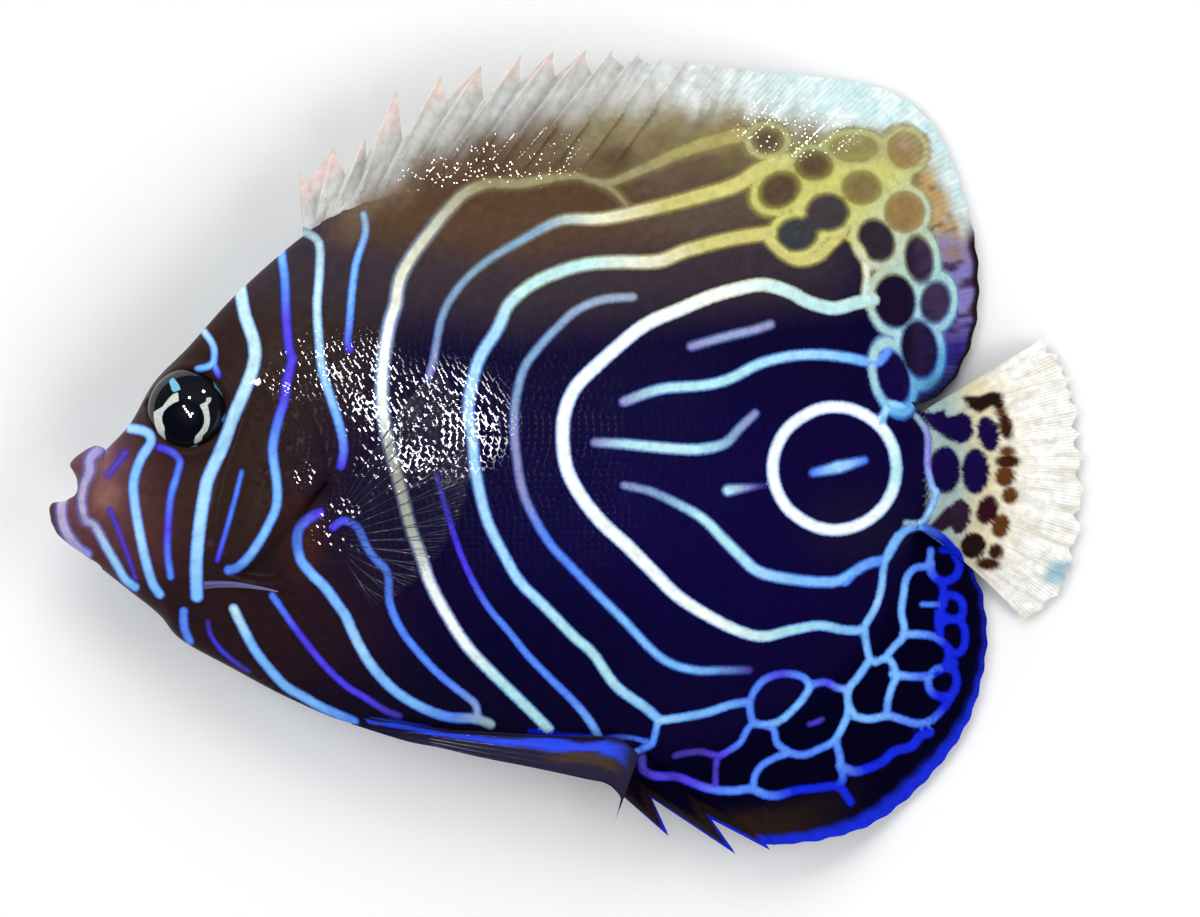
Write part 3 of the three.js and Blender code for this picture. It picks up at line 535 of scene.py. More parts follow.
# Pale lines: width, colours, softness of the edge, points. A width or a softness that changes
# along the line has several values, and sky*3 stands for the same colour three times.
crisp = 0.14
lineReach = 3
paleLines = {
    "lipLine": (1.15, "lipLilac*2 lilac", 0.3, [
        (-52.3, -5.1), (-52.3, -6.8), (-51.8, -8.4), (-50.7, -9.9), (-49.7, -10.6)]),
    "snoutLine": ((1.3, 1.0, 0.95, 1.0), "lilac lipLilac*2 iceBlue sky", (0.45, crisp), [
        (-48.2, 0.4), (-49.3, -0.7), (-49.4, -2.1), (-50.1, -3.8), (-50.2, -5.5), (-49.8, -7.1),
        (-48.8, -7.7), (-47.7, -9.7), (-46.6, -11.6), (-45.7, -13.2), (-44.7, -14)]),
    "snoutViolet1": ((0.8, 0.6), "snoutPurple*2", 0.35, [
        (-45.7, -0.2), (-46.6, -1.4), (-47.5, -2.5)]),
    "snoutViolet2": ((0.6, 0.5), "snoutPurple*2", 0.2, [
        (-47.2, -6), (-46.2, -8.4), (-45.3, -10.9), (-44.6, -13.1)]),
    "cheekFront": (1.04, "iceBlue sky iceBlue sky", crisp, [
        (-45.2, 2.4), (-43.4, 2), (-42.9, 1), (-44, -0.8), (-44.7, -3), (-44.6, -5.3), (-44.1, -8.3),
        (-43.5, -11.2), (-42.8, -13.6), (-42.1, -14.7)]),
    "cheekViolet": (0.78, "violet azure violet azure", crisp, [
        (-42.0, 0.4), (-40.7, -0.1), (-39.9, -0.9), (-40.1, -2.1), (-40.8, -4.5), (-41.1, -7.3),
        (-41.2, -10.3), (-40.9, -12.9)]),
    "cheekMain": (1.35, "paleTurquoise*2 iceBlue*2 sky", crisp, [
        (-33.9, 16.9), (-33.3, 14.1), (-32.3, 11.2), (-32.3, 8.9), (-33.5, 5.6), (-34.5, 3.3),
        (-35.4, 0.7), (-36.9, -2.6), (-37.3, -4.2), (-37.8, -7.3), (-38.2, -11.2), (-38.2, -14.9)]),
    "eyeTop": (0.73, "paleTurquoise sky*2", crisp, [
        (-37.6, 12.4), (-36.5, 10.8), (-36.5, 9.2), (-37.2, 8.7), (-38.1, 8.5)]),
    "eyeTopSpur": (0.62, "sky violet", crisp, [
        (-36.5, 9.2), (-35.9, 7.8)]),
    "coverFront": (0.93, "sky azure violet*2", crisp, [
        (-29.7, 20.9), (-29.2, 17.8), (-29, 14.1), (-28.7, 10.8), (-28.3, 9.6)]),
    "coverRear": (0.98, "violet*2 azure sky*3 azure", crisp, [
        (-28.3, 9.6), (-28.9, 7), (-29.1, 5.2), (-29.7, 3.3), (-30.3, 0.3), (-29.9, -3), (-29.9, -5.5),
        (-30.9, -7.9), (-32.5, -10.5), (-33.9, -11.9), (-34.9, -12.2)]),
    "coverInner": (0.52, "azure*2 violet", crisp, [
        (-33.5, -2.1), (-34.3, -5.3), (-35.3, -8.8), (-35.8, -10.4), (-36, -11.2)]),
    "napeFront": (0.93, "fadedTurquoise paleTurquoise*2 iceBlue sky violet", crisp, [
        (-27.2, 22.7), (-25.7, 21.5), (-25.6, 18.2), (-25.8, 15), (-25.6, 11.8), (-25.2, 8.2),
        (-24.1, 4.8), (-23.3, 2.2), (-23, 0.1), (-23.3, -1.5)]),
    "napeRear": (0.78, "fadedTurquoise sky*2 violet", crisp, [
        (-21.1, 24.5), (-20.9, 22.5), (-21.8, 19.5), (-22.2, 16.5), (-22.4, 13.7), (-22.6, 11.3),
        (-22.4, 10.4)]),
    "firstWhite": (
        (1.35, 1.14), "fadedOlive*2 greyIvory ivory white*2 greyIvory*2 white*2 turquoise*2", (0.45, crisp), [
        (-1.8, 28.3), (-5.2, 27.7), (-8.3, 27.7), (-10.6, 26.7), (-12.5, 24.8), (-14.1, 22.8), (-16, 20.2),
        (-17.3, 17.7), (-17.7, 15.2), (-18.4, 12.8), (-19, 8.5), (-19, 4.4), (-18.5, 1.3), (-17.7, -1.7),
        (-16.9, -4.8), (-16.1, -7.9), (-15, -10.9), (-14.1, -13.6), (-12.2, -17.2), (-10.3, -20.1),
        (-8, -22.6), (-5.6, -25), (-3.2, -27.4), (-2, -28.7)]),
    "firstYellow": ((1.1, 0.8), "fadedOlive*3", 0.60, [
        (-1.8, 28.3), (1.1, 28.5), (2.1, 28.1), (4.4, 27.2), (6.1, 25.4)]),
    "firstFork": ((1.0, 1.5, 1.9), "fadedOlive*2 yellowOlive*2", (0.5, 0.8), [
        (2.1, 28.1), (4.4, 27.8), (7.5, 29.1), (11.7, 31.0), (14.9, 32.1), (18, 32.9)]),
    "secondUpper": ((1.9, 1.5, 0.9, 0.8), "yellow*3 ivory greyBlue*3 haze", (0.42, crisp), [
        (22.5, 30.2), (20.0, 29.2), (17.2, 27.5), (12.2, 26.0), (7.9, 24.9), (3.5, 24), (-0.8, 23.8),
        (-5.2, 21.5), (-7.9, 19.9), (-10.1, 18.1), (-11.9, 15.9), (-13, 13.6), (-13.7, 9.9), (-14.3, 7.5)]),
    "secondLower": ((0.52, 0.93), "dimViolet violet*2 azure*3 sky", crisp, [
        (-13.5, -2.3), (-12.8, -4.8), (-12, -7.5), (-11, -10.5), (-9.7, -13.4), (-8.1, -16.1),
        (-5.9, -18.7), (-4.1, -21), (-1.8, -23.4), (0.6, -25.8), (2.3, -27.9), (3.2, -29.6)]),
    "third": ((1.6, 1.3, 1.1, 1.09), "yellow*2 ivory paleTurquoise*2 iceBlue*5 turquoise*2 sky", (0.3, crisp), [
        (20.9, 22.6), (16.6, 21.9), (12.2, 20.7), (9.3, 19.6), (5, 19.5), (2.1, 19.3), (-0.6, 18.6),
        (-3.5, 17.3), (-6, 15.2), (-7.2, 12.6), (-8.9, 9.9), (-9.7, 7.5), (-10.2, 4.4), (-9.8, 1.3),
        (-9.5, -1.7), (-8.9, -4.8), (-8.1, -7.5), (-6.6, -10.5), (-4.9, -13.4), (-2.4, -15.9),
        (0.7, -19.1), (2.6, -20.8), (4.9, -24.1), (7.8, -26.3), (9.3, -27.6)]),
    "fourth": ((0.95, 0.88), "mist*2 greyBlue*2 haze*2 azure*2 sky*3 dimViolet", 0.2, [
        (6.7, 15.9), (3.5, 15.6), (0.9, 14.5), (-0.8, 13), (-2.8, 10.9), (-4.5, 8.5), (-5.3, 5.4),
        (-5.5, 2.7), (-5.3, -0.2), (-4.7, -3.8), (-3.6, -6.5), (-1.8, -9.5), (0.5, -12), (2.9, -14.5),
        (5.9, -17.5), (8.6, -20.4), (10.7, -21.9), (13.4, -22.6), (16, -22.6), (18.7, -22.6)]),
    "largeCurve": ((1.45, 1.45, 1.45, 0.98), "paleTurquoise*2 white*7 turquoise sky", crisp, [
        (31.6, 15.7), (29.9, 15.4), (27.5, 14.8), (24.9, 15.4), (22.8, 16.5), (20.1, 17.2), (17.3, 16.7),
        (14.6, 15.9), (11.5, 14.6), (8.1, 13.1), (5.4, 11), (3.3, 9.1), (0.9, 6.7), (-0.3, 4), (-0.5, 1.1),
        (-0.1, -1.7), (1.1, -4.2), (3.3, -7.1), (5.9, -9.5), (8.6, -12.2), (11.2, -14.8), (14.4, -16.9),
        (17.6, -18.5), (20.2, -19.1), (22.9, -18.5), (26, -18), (28.7, -18.5), (30.6, -18.5)]),
    "innerDash": (0.95, "haze mist haze", 0.25, [
        (12.7, 10.8), (16.2, 11.8), (19.1, 12.5), (20.9, 13.1)]),
    "innerUpper": (1.1, "haze turquoise*3 iceBlue*2 sky azure", 0.2, [
        (5.8, 5.1), (9.5, 6.4), (14, 6.8), (16.7, 7.5), (19.7, 9), (22.8, 9.8), (25.9, 10), (28.9, 9.7),
        (31.8, 9.2), (33.1, 10.4)]),
    "innerMiddle": ((0.95, 1.15, 1.15, 0.9), "haze turquoise paleTurquoise turquoise greyBlue haze", 0.2, [
        (2.8, 0.9), (5.4, 0.8), (9.5, 0.4), (13.2, 0.2), (16.1, 0.8), (17.7, 2.4), (19.3, 3.9)]),
    "innerLower": ((0.83, 1.2, 1.1), "haze greyBlue turquoise*2 iceBlue sky*2 azure", 0.2, [
        (5.8, -3.5), (8.5, -4.1), (11.5, -5.5), (13.9, -6.9), (15.8, -8.8), (17.6, -10.6), (19.7, -12.4),
        (23.1, -13.2), (26.5, -13.5), (28.4, -13.2), (30.6, -11.8), (32.4, -11.3)]),
    "innerSpot": ((1.2, 0.35), "turquoise haze dimViolet", 0.25, [
        (16.5, -4), (17.1, -3.9), (18.7, -3.7), (20.3, -3.5)]),
    "eyeRing": (1.30, "turquoise white*7 turquoise", crisp, [
        (34, -1.8), (33.6, 0.4), (32.5, 2.3), (30.8, 3.7), (28.7, 4.5), (26.4, 4.5), (24.4, 3.7),
        (22.6, 2.3), (21.5, 0.4), (21.1, -1.8), (21.5, -3.9), (22.6, -5.8), (24.4, -7.2), (26.4, -8),
        (28.7, -8), (30.8, -7.2), (32.5, -5.8), (33.6, -3.9), (34, -1.8)]),
    "eyeRingArm": (0.93, "sky turquoise sky", crisp, [
        (32.1, 2.7), (32.8, 4.1), (33.2, 4.9), (34.9, 4.5)]),
    "eyeRingDash": ((0.9, 1.3, 0.8), "azure iceBlue azure", 0.25, [
        (25.3, -2.2), (28, -1.6), (30.6, -0.9)]),
    "throat1": (0.93, "azure*2", crisp, [
        (-39.6, -16.5), (-39.6, -18.1), (-39.1, -19.6)]),
    "throat2": (0.52, "dimViolet violet dimViolet", crisp, [
        (-37.1, -17.5), (-36.9, -18.8), (-35.8, -20.5), (-34.2, -21.9), (-33, -22.7)]),
    "throat3": (1.04, "paleTurquoise sky*3 azure", crisp, [
        (-34.4, -16.2), (-33.5, -18.1), (-32.3, -20.4), (-30.9, -22.3), (-29.2, -24.2), (-27.4, -25.3),
        (-25.1, -26.6), (-22.1, -27.9)]),
    "throat4": (0.73, "azure violet*3 dimViolet", crisp, [
        (-30.4, -14.8), (-28.9, -17), (-27.4, -19.1), (-25.1, -22), (-22.8, -24.2), (-21.2, -25.2),
        (-18.9, -26.7), (-17.4, -27.3)]),
    "throat5": (1.09, "violet azure sky*2 iceBlue sky*2 azure fadedTurquoise", crisp, [
        (-25.5, -6.3), (-26.9, -7.1), (-27.7, -8.2), (-27.8, -9.6), (-27.4, -11.2), (-26.2, -12.7),
        (-24.9, -14), (-23.7, -15.7), (-22.8, -17), (-21.7, -19.5), (-20.1, -22.2), (-17.9, -24.6),
        (-15.3, -26.3), (-12.4, -27.4), (-9.6, -27.6), (-8, -28.2)]),
    "throat6": (0.83, "violet azure*5 mist", crisp, [
        (-24.1, -7.8), (-23, -7.1), (-21.6, -7.8), (-20.7, -9.7), (-19.7, -11.1), (-18.5, -12.5),
        (-18.3, -15.5), (-17.2, -18.2), (-15.5, -20.5), (-13.4, -22.8), (-11.3, -24.6), (-9.6, -26),
        (-9.3, -27.4)]),
    "bellyLine": (0.52, "deepBlue*2", crisp, [
        (-4, -28.9), (-0.3, -29.3), (3.4, -29.5)]),
    "pelvicLine": (0.41, "azure deepBlue", crisp, [
        (-20.3, -27.7), (-17.4, -28), (-14.3, -28.5)]),
    "dorsalLoop": (1.3, "yellow*5", 0.32, [
        (20.9, 21.8), (22.2, 20.5), (23.9, 19.7), (25.9, 20.2), (27.2, 21.5), (28.5, 22.7)]),
    "dorsalBulge": (0.93, "yellow ivory paleTurquoise", 0.25, [
        (29.2, 22.2), (30.2, 21.1), (30.8, 19.7), (31.0, 18.0), (30.8, 16.6), (31.0, 15.6)]),
    "tailLine": (0.73, "fadedTurquoise lilac*2 iceBlue*2 fadedTurquoise", crisp, [
        (36.1, 3.6), (37.2, 1.8), (37.2, -1.4), (37.7, -3.6), (38.1, -4.5), (36.8, -7.2), (34.9, -7.4)]),
    "anal1": (0.93, "azure*2 sky*2 azure deepBlue*2", crisp, [
        (28.7, -13.5), (29.8, -12.4), (31.3, -11.4), (32.8, -11.2), (33.7, -9.8), (34.8, -8.3),
        (36.4, -7.8), (38.2, -8.6), (39.7, -9.8), (40.6, -11.4)]),
    "anal2": (0.83, "sky*2 iceBlue sky*2", crisp, [
        (34.1, -8.7), (33.2, -10.3), (32.7, -11.9), (32.5, -14), (32.1, -15.6), (31.5, -16.9),
        (30.8, -18.1), (30.9, -19.8), (31.3, -21.4), (31.9, -21.9)]),
    "anal3": (0.83, "azure*2 sky*4", crisp, [
        (37.7, -10.3), (37.4, -11.8), (36, -12.1), (35.1, -13.2), (34.8, -15.1), (34.6, -16.7),
        (34.9, -18.2), (34.7, -19.4), (34, -20.1), (32.9, -21.5)]),
    "anal4": (0.83, "sky*3 azure", crisp, [
        (31.9, -21.9), (32.9, -21.5), (33.6, -21.9), (34.1, -23.3), (33.6, -24.6), (33.2, -26.2),
        (33.2, -27.4)]),
    "anal5": (0.88, "sky azure deepBlue*2", crisp, [
        (34.8, -19), (36.4, -19), (37.9, -19.2), (38.9, -19.8), (39.8, -20.9), (39.3, -22.2)]),
    "anal6": (0.88, "sky azure deepBlue*2", crisp, [
        (33.7, -23.1), (35.6, -23.4), (37.4, -23.3), (39, -22.6), (40.3, -21.9)]),
    "anal7": (0.88, "sky*2 azure*2 deepBlue*2", crisp, [
        (29.8, -27.5), (31.3, -27.8), (33.2, -27.5), (34.5, -27.8), (36.1, -28.3), (37.4, -28.2),
        (38.5, -27.4), (39.7, -25.9), (40.3, -24.6)]),
    "anal8": (0.88, "sky*3", crisp, [
        (31.2, -21.8), (30.1, -23.4), (29.1, -24.7), (29.1, -26.2), (29.8, -27.5)]),
    "anal9": (0.83, "azure*2 violet azure sky*3 azure*2", crisp, [
        (18.8, -25.9), (19.4, -24.6), (20.5, -23.5), (22.3, -23), (24.2, -23.3), (25, -24.3),
        (24.5, -25.4), (23.4, -26.7), (21.8, -28), (20.2, -28.3), (19.2, -28), (18.9, -27), (18.8, -25.9)]),
    "anal10": (0.93, "iceBlue sky*2 azure", crisp, [
        (9.3, -27.8), (11.8, -27.5), (14.4, -27), (16.8, -26.2), (18.8, -25.9)]),
    "anal11": (0.83, "azure violet sky", crisp, [
        (25, -24.3), (26.6, -23.9), (27.9, -24.5), (29.1, -24.7)]),
    "anal12": (0.83, "azure*3 sky*2", crisp, [
        (21.7, -30.3), (22.9, -31.2), (24.5, -31.5), (26.1, -30.9), (27.6, -30.1), (28.4, -28.8),
        (29, -27.4), (29.1, -26.2)]),
    "anal13": (0.78, "azure*4", crisp, [
        (20.2, -28.3), (21.3, -28.8), (21.7, -30.3), (22.9, -31.2), (21.6, -31.7), (20.2, -32.5),
        (19.4, -33.6), (19.2, -34.9)]),
    "anal14": (0.73, "azure*2 violet dimViolet*2", crisp, [
        (19.2, -28), (18.4, -29.1), (17.9, -30.1), (16.8, -30.9), (15.5, -31.5), (13.9, -31.1),
        (12.3, -31.2), (11.1, -31.5)]),
    "anal15": (0.67, "violet dimViolet violet", crisp, [
        (15.5, -31.5), (15.3, -33), (15.3, -34.8)]),
    "anal17": (0.93, "dimViolet violet*2 azure*2 deepBlue*3", crisp, [
        (7.7, -31.7), (7.8, -33), (9.1, -33.6), (11.2, -33.7), (13.1, -34.4), (14.9, -35), (17.1, -35.2),
        (18.9, -35), (20.5, -35.6), (21.8, -35.7), (23.7, -35.2), (25.8, -35), (27.9, -34.8),
        (28.7, -35.4), (29.4, -36.5)]),
    "anal18": (0.88, "azure*2 deepBlue", crisp, [
        (27.8, -30.1), (28.2, -31.5), (28.4, -33), (28.6, -34), (28, -34.9)]),
    "anal19": (1.04, "azure deepBlue*4", crisp, [
        (28.3, -32.7), (29.8, -33.3), (31.1, -33), (32.7, -32.3), (34, -31.2), (35.8, -30.7),
        (36.7, -29.6), (37.7, -29.3)]),
    "anal20": (0.73, "sky azure", crisp, [
        (9.3, -27.8), (9, -29.3), (8.7, -30.3)]),
    "anal21": (0.93, "deepBlue*2", crisp, [
        (38.9, -13.7), (39.1, -15.6), (38.5, -17.2), (38.7, -19)]),
    "anal22": (0.62, "deepBlue azure*2", crisp, [
        (39, -15.9), (37.7, -15.9), (36.8, -15.9)]),
    "anal23": (0.93, "azure deepBlue*4", crisp, [
        (37.7, -11.5), (37.8, -12.7), (39, -13.5), (40.3, -13), (40.8, -11.6), (40.2, -10.3), (39, -10.2)]),
    "anal24": (0.88, "deepBlue*2", crisp, [
        (38.9, -15.2), (39.9, -14.9), (41, -15.6), (41.1, -16.9), (40.3, -17.5), (38.9, -17.1)]),
    "anal25": (0.88, "deepBlue*2", crisp, [
        (38.6, -18.2), (39.5, -17.5), (40.9, -17.7), (41.4, -19.3), (40.9, -20.9), (39.5, -20.9)]),
    "anal26": (0.88, "azure deepBlue*3 azure", crisp, [
        (37.7, -23.3), (38.5, -22.6), (40.1, -22.7), (40.5, -24.1), (40.1, -25.2), (38.7, -25.5),
        (37.7, -24.9), (37.4, -23.5)]),
    "anal27": (0.62, "dimViolet violet dimViolet", crisp, [
        (25, -28.3), (25.7, -28.1), (26.4, -27.8)]),
    "anal28": (0.52, "deepBlue azure*2", crisp, [
        (3.6, -29.7), (4.9, -29.5), (6.5, -29.6), (8.1, -30), (8.7, -30.3)]),
    "anal29": (0.73, "deepBlue azure*2", crisp, [
        (3.4, -31.2), (4.9, -31.5), (6.8, -31.2), (7.7, -30.8), (8.7, -30.3)]),
}

# Dark spots in the pale net of the fins: x, y, half width, half height and turn in degrees
# (or an outline), colour, softness. The net reaches as far as its collar past each spot.
dorsalNet = {
    "area": [
        (20.7, 31.6), (22.3, 27.2), (23.7, 22.4), (26.9, 24.8), (32.0, 21.9), (33.9, 15.6), (33.75, 7.6),
        (36.6, 10.6), (38.3, 15.6), (36.6, 20.0), (35.1, 24.9), (36.4, 30.0), (35.1, 31.6), (29.7, 31.7),
        (25.5, 29.7),
    ],
    "collar": 0.95, "grow": 0.2, "tint": (198, 196, 114), "softest": 0.2, "softHigh": 0.25,
    "spots": [
        (20.7, 32.3, 1.3, 1.1, 0, "umber", 0.6), (25.5, 29.7, 1.6, 1.25, 0, "umber", 0.5),
        (21.9, 27.1, 1.95, 1.5, 32, "umber", 0.45), (30.5, 27.4, 1.7, 1.45, 0, "olive", 0.5),
        (29.7, 31.5, 1.9, 1.1, 0, "oliveGreen", 0.7), (26.9, 24.8, 1.95, 1.7, 0, "slate", 0.38),
        (23.7, 22.45, 1.85, 1.5, 10, "slateBlue", 0.36), (25.3, 23.6, 0.9, 0.8, 0, "slate", 0.4),
        (35.0, 24.9, 1.8, 1.85, 0, "tan", 0.45), (32.0, 21.9, 1.6, 2.0, 25, "slateBlack", 0.3),
        (35.1, 31.4, 1.5, 1.6, 20, "tan", 0.6), (36.5, 20.0, 1.25, 2.1, 8, "plum", 0.3),
        (33.9, 15.6, 1.95, 2.5, 5, "ink", 0.24), (38.2, 15.5, 1.35, 1.9, -10, "plum", 0.28),
        (36.5, 10.6, 1.7, 2.7, 8, "ink", 0.24), (33.7, 7.7, 1.45, 2.5, 15, "navy", 0.2),
    ],
}
tailSpots = {
    "grow": 0.13,
    "spots": [
        ([
            (36.9, 3.76), (38.96, 4.16), (39.2, 3.44), (40.23, 3.6), (40.87, 3.92), (41.82, 3.44), (42.01, 2.17),
            (41.66, 1.3), (40.71, 0.87), (39.28, 1.46), (37.85, 2.41),
        ], "navy", 0.12),
        (39.04, -1.9, 1.55, 2.3, 0, "navy", 0.14), (42.29, -2.05, 1.35, 2.2, 0, "navy", 0.14),
        (43.64, 1.82, 1.0, 1.68, 14, "navy", 0.14),
        ([
            (37.61, -7.82), (39.12, -6.07), (40.71, -4.96), (41.69, -5.76), (41.69, -7.18), (40.87, -8.37),
            (40.23, -8.45), (39.83, -7.66), (38.64, -8.29),
        ], "plum", 0.14),
        (43.56, -6.07, 0.95, 1.4, -18, "bramble", 0.16), (44.99, -7.74, 0.82, 1.11, -15, "rust", 0.18),
        (42.13, -9.8, 1.21, 1.27, 0, "bark", 0.16), (44.51, -10.44, 0.67, 0.73, 0, "rustDark", 0.22),
        (43.72, -11.7, 1.05, 0.54, -5, "rustDark", 0.22),
        ([
            (41.1, 5.66), (42.77, 5.63), (44.04, 6.14), (44.99, 5.98), (45.34, 4.47), (44.83, 4.24),
            (44.04, 4.87), (42.77, 4.11), (41.66, 4.63),
        ], "bark", 0.2),
        (45.47, 2.65, 0.63, 1.24, 12, "rustDark", 0.2), (44.99, 4.16, 0.48, 0.57, 0, "rust", 0.3),
        (45.7, -0.05, 0.7, 0.48, 0, "rust", 0.25), (45.7, -1.03, 1.11, 0.57, 0, "rustDark", 0.18),
        (45.43, -2.58, 0.95, 0.98, 0, "rust", 0.2), (45.97, -4.57, 0.73, 0.82, 0, "rust", 0.22),
    ],
}

# The ground colour under the lines, and two painted highlights on the snout. Patches and blots are soft ovals: x,
# y, half width, half height, in blots a turn in degrees, then colour and strength.
patchesAndHighlights = [
    (-38, 4, 15, 30, (44, 28, 27), 1.0), (-43, -6, 5, 8, (70, 42, 40), 0.6), (-27, 18, 9, 14, (52, 40, 34), 0.9),
    (-32, -19, 15, 10, (40, 24, 26), 0.8), (-49, -4, 5, 7, (112, 72, 82), 0.85), (-46, -9, 5, 5, (82, 50, 50), 0.7),
    (-27.4, -8.5, 2.2, 4.6, (66, 33, 28), 0.8), (-14, -26, 16, 5, (18, 14, 24), 0.6),
    (12, -8, 22, 16, (14, 6, 66), 0.6), (26, -2, 8, 8, (14, 5, 52), 0.8),
    # painted highlights: these two light patches stand for glints on the snout
    (-47.6, -4.6, 1.5, 1.7, (140, 98, 88), 0.7), (-48.0, -0.6, 1.1, 2.2, (132, 92, 96), 0.6),
    (-34, -3, 5, 8, (48, 34, 26), 0.6), (-2, -22, 14, 9, (8, 5, 40), 0.6), (30, -8, 6, 4, (26, 22, 36), 0.5),
]
blots = [
    (9.4, 32.3, 2.1, 1.2, 15, (116, 100, 72), 0.8), (13.8, 34.4, 2.9, 1.1, 35, (124, 114, 88), 0.7),
    (12.0, 28.8, 5.0, 1.3, 17, (98, 78, 62), 1.0), (4.6, 30.4, 2.2, 1.3, 10, (92, 72, 54), 0.9),
    (17.2, 30.3, 1.9, 1.2, 20, (104, 92, 60), 0.9), (-1.5, 32.0, 3.0, 1.2, 20, (112, 94, 72), 0.7),
]
# where the wet scales and fins are ruffled: x, y, half width, half height, strength
ruffled = [
    (-27.6, 9.2, 5.2, 3.0, 1.0), (-20.2, 6.0, 3.2, 5.0, 1.0), (-13.0, 3.2, 6.0, 5.0, 1.0),
    (-24.6, -8.0, 3.6, 3.4, 0.9), (-17.5, -1.0, 4.0, 3.0, 0.7), (-27.0, -3.2, 1.6, 1.8, 0.9),
    (-9.2, 30.8, 8.6, 4.0, 1.0), (23.6, 33.6, 5.4, 2.9, 1.0),
]
# how steeply these ovals fade at their edge
fades = {"patch": 1.6, "blot": 1.5, "ruffle": 1.4}
# outline of the clear part of the back fin
clearEdge = np.array([
    (-28, 21.0), (-25.9, 23.2), (-20.0, 28.0), (-14.1, 32.2), (-8.2, 34.4), (-1.3, 36.0), (9.5, 36.9), (17, 37.0),
    (24.2, 35.6), (30.4, 34.2), (34.2, 33.6), (37.1, 32.0), (38.6, 30.4), (41.0, 25.0),
])
rimTints = {"blue": np.array([0.2, 0.34, 0.9]), "olive": np.array([0.5, 0.44, 0.24])}

def oval(points, x, y, wide, tall, turn=0):
    # squared distance from the middle of an oval, 1 on its edge
    c, s = math.cos(math.radians(turn)), math.sin(math.radians(turn))
    dx, dy = points[:, 0] - x, points[:, 1] - y
    return ((dx * c + dy * s) / wide) ** 2 + ((dy * c - dx * s) / tall) ** 2

def softOval(points, place, strength=1.0, fade=1):
    return strength * np.exp(-(oval(points, *place) ** fade))

def ruffleAt(points):
    return np.max([softOval(points, place, strength, fades["ruffle"]) for *place, strength in ruffled], axis=0)

def spotGap(points, marks):
    # distance to the nearest spot's edge, its colour and its softness
    gap = np.full(len(points), 9.0)
    colour = np.zeros((len(points), 3))
    soft = np.full(len(points), 0.3)
    for *form, tint, edge in marks["spots"]:
        if len(form) == 1:
            here = areaGap(points, form[0])
        else:
            here = (np.sqrt(oval(points, *form)) - 1) * min(form[2:4])
        near = here < gap
        gap = np.where(near, here, gap)
        colour[near] = linear(tints[tint])
        soft = np.where(near, edge, soft)
    return gap - marks["grow"], colour, soft

def fanStreaks(points, centre, fine):
    # uneven streaks that fan out from a centre, 0 to 1
    dx, dy = points[:, 0] - centre[0], points[:, 1] - centre[1]
    angle, away = np.arctan2(dy, dx), np.hypot(dx, dy)
    waves = [(1.0, 0.3, 0.4), (1.63, -0.2, 2.1), (2.41, 0.5, 4.0), (0.57, -0.4, 1.2)]
    return 0.5 + 0.5 * np.sin(sum(np.sin(angle * fine * a + away * b + c) for a, b, c in waves))

def layered(ground, layers):
    # each layer is a colour and how strongly it covers what lies under it
    for colour, strength in layers:
        ground = ground + (linear(colour) - ground) * np.asarray(strength)[:, None]
    return ground

def plain(points, colour):
    return np.tile(linear(colour), (len(points), 1))

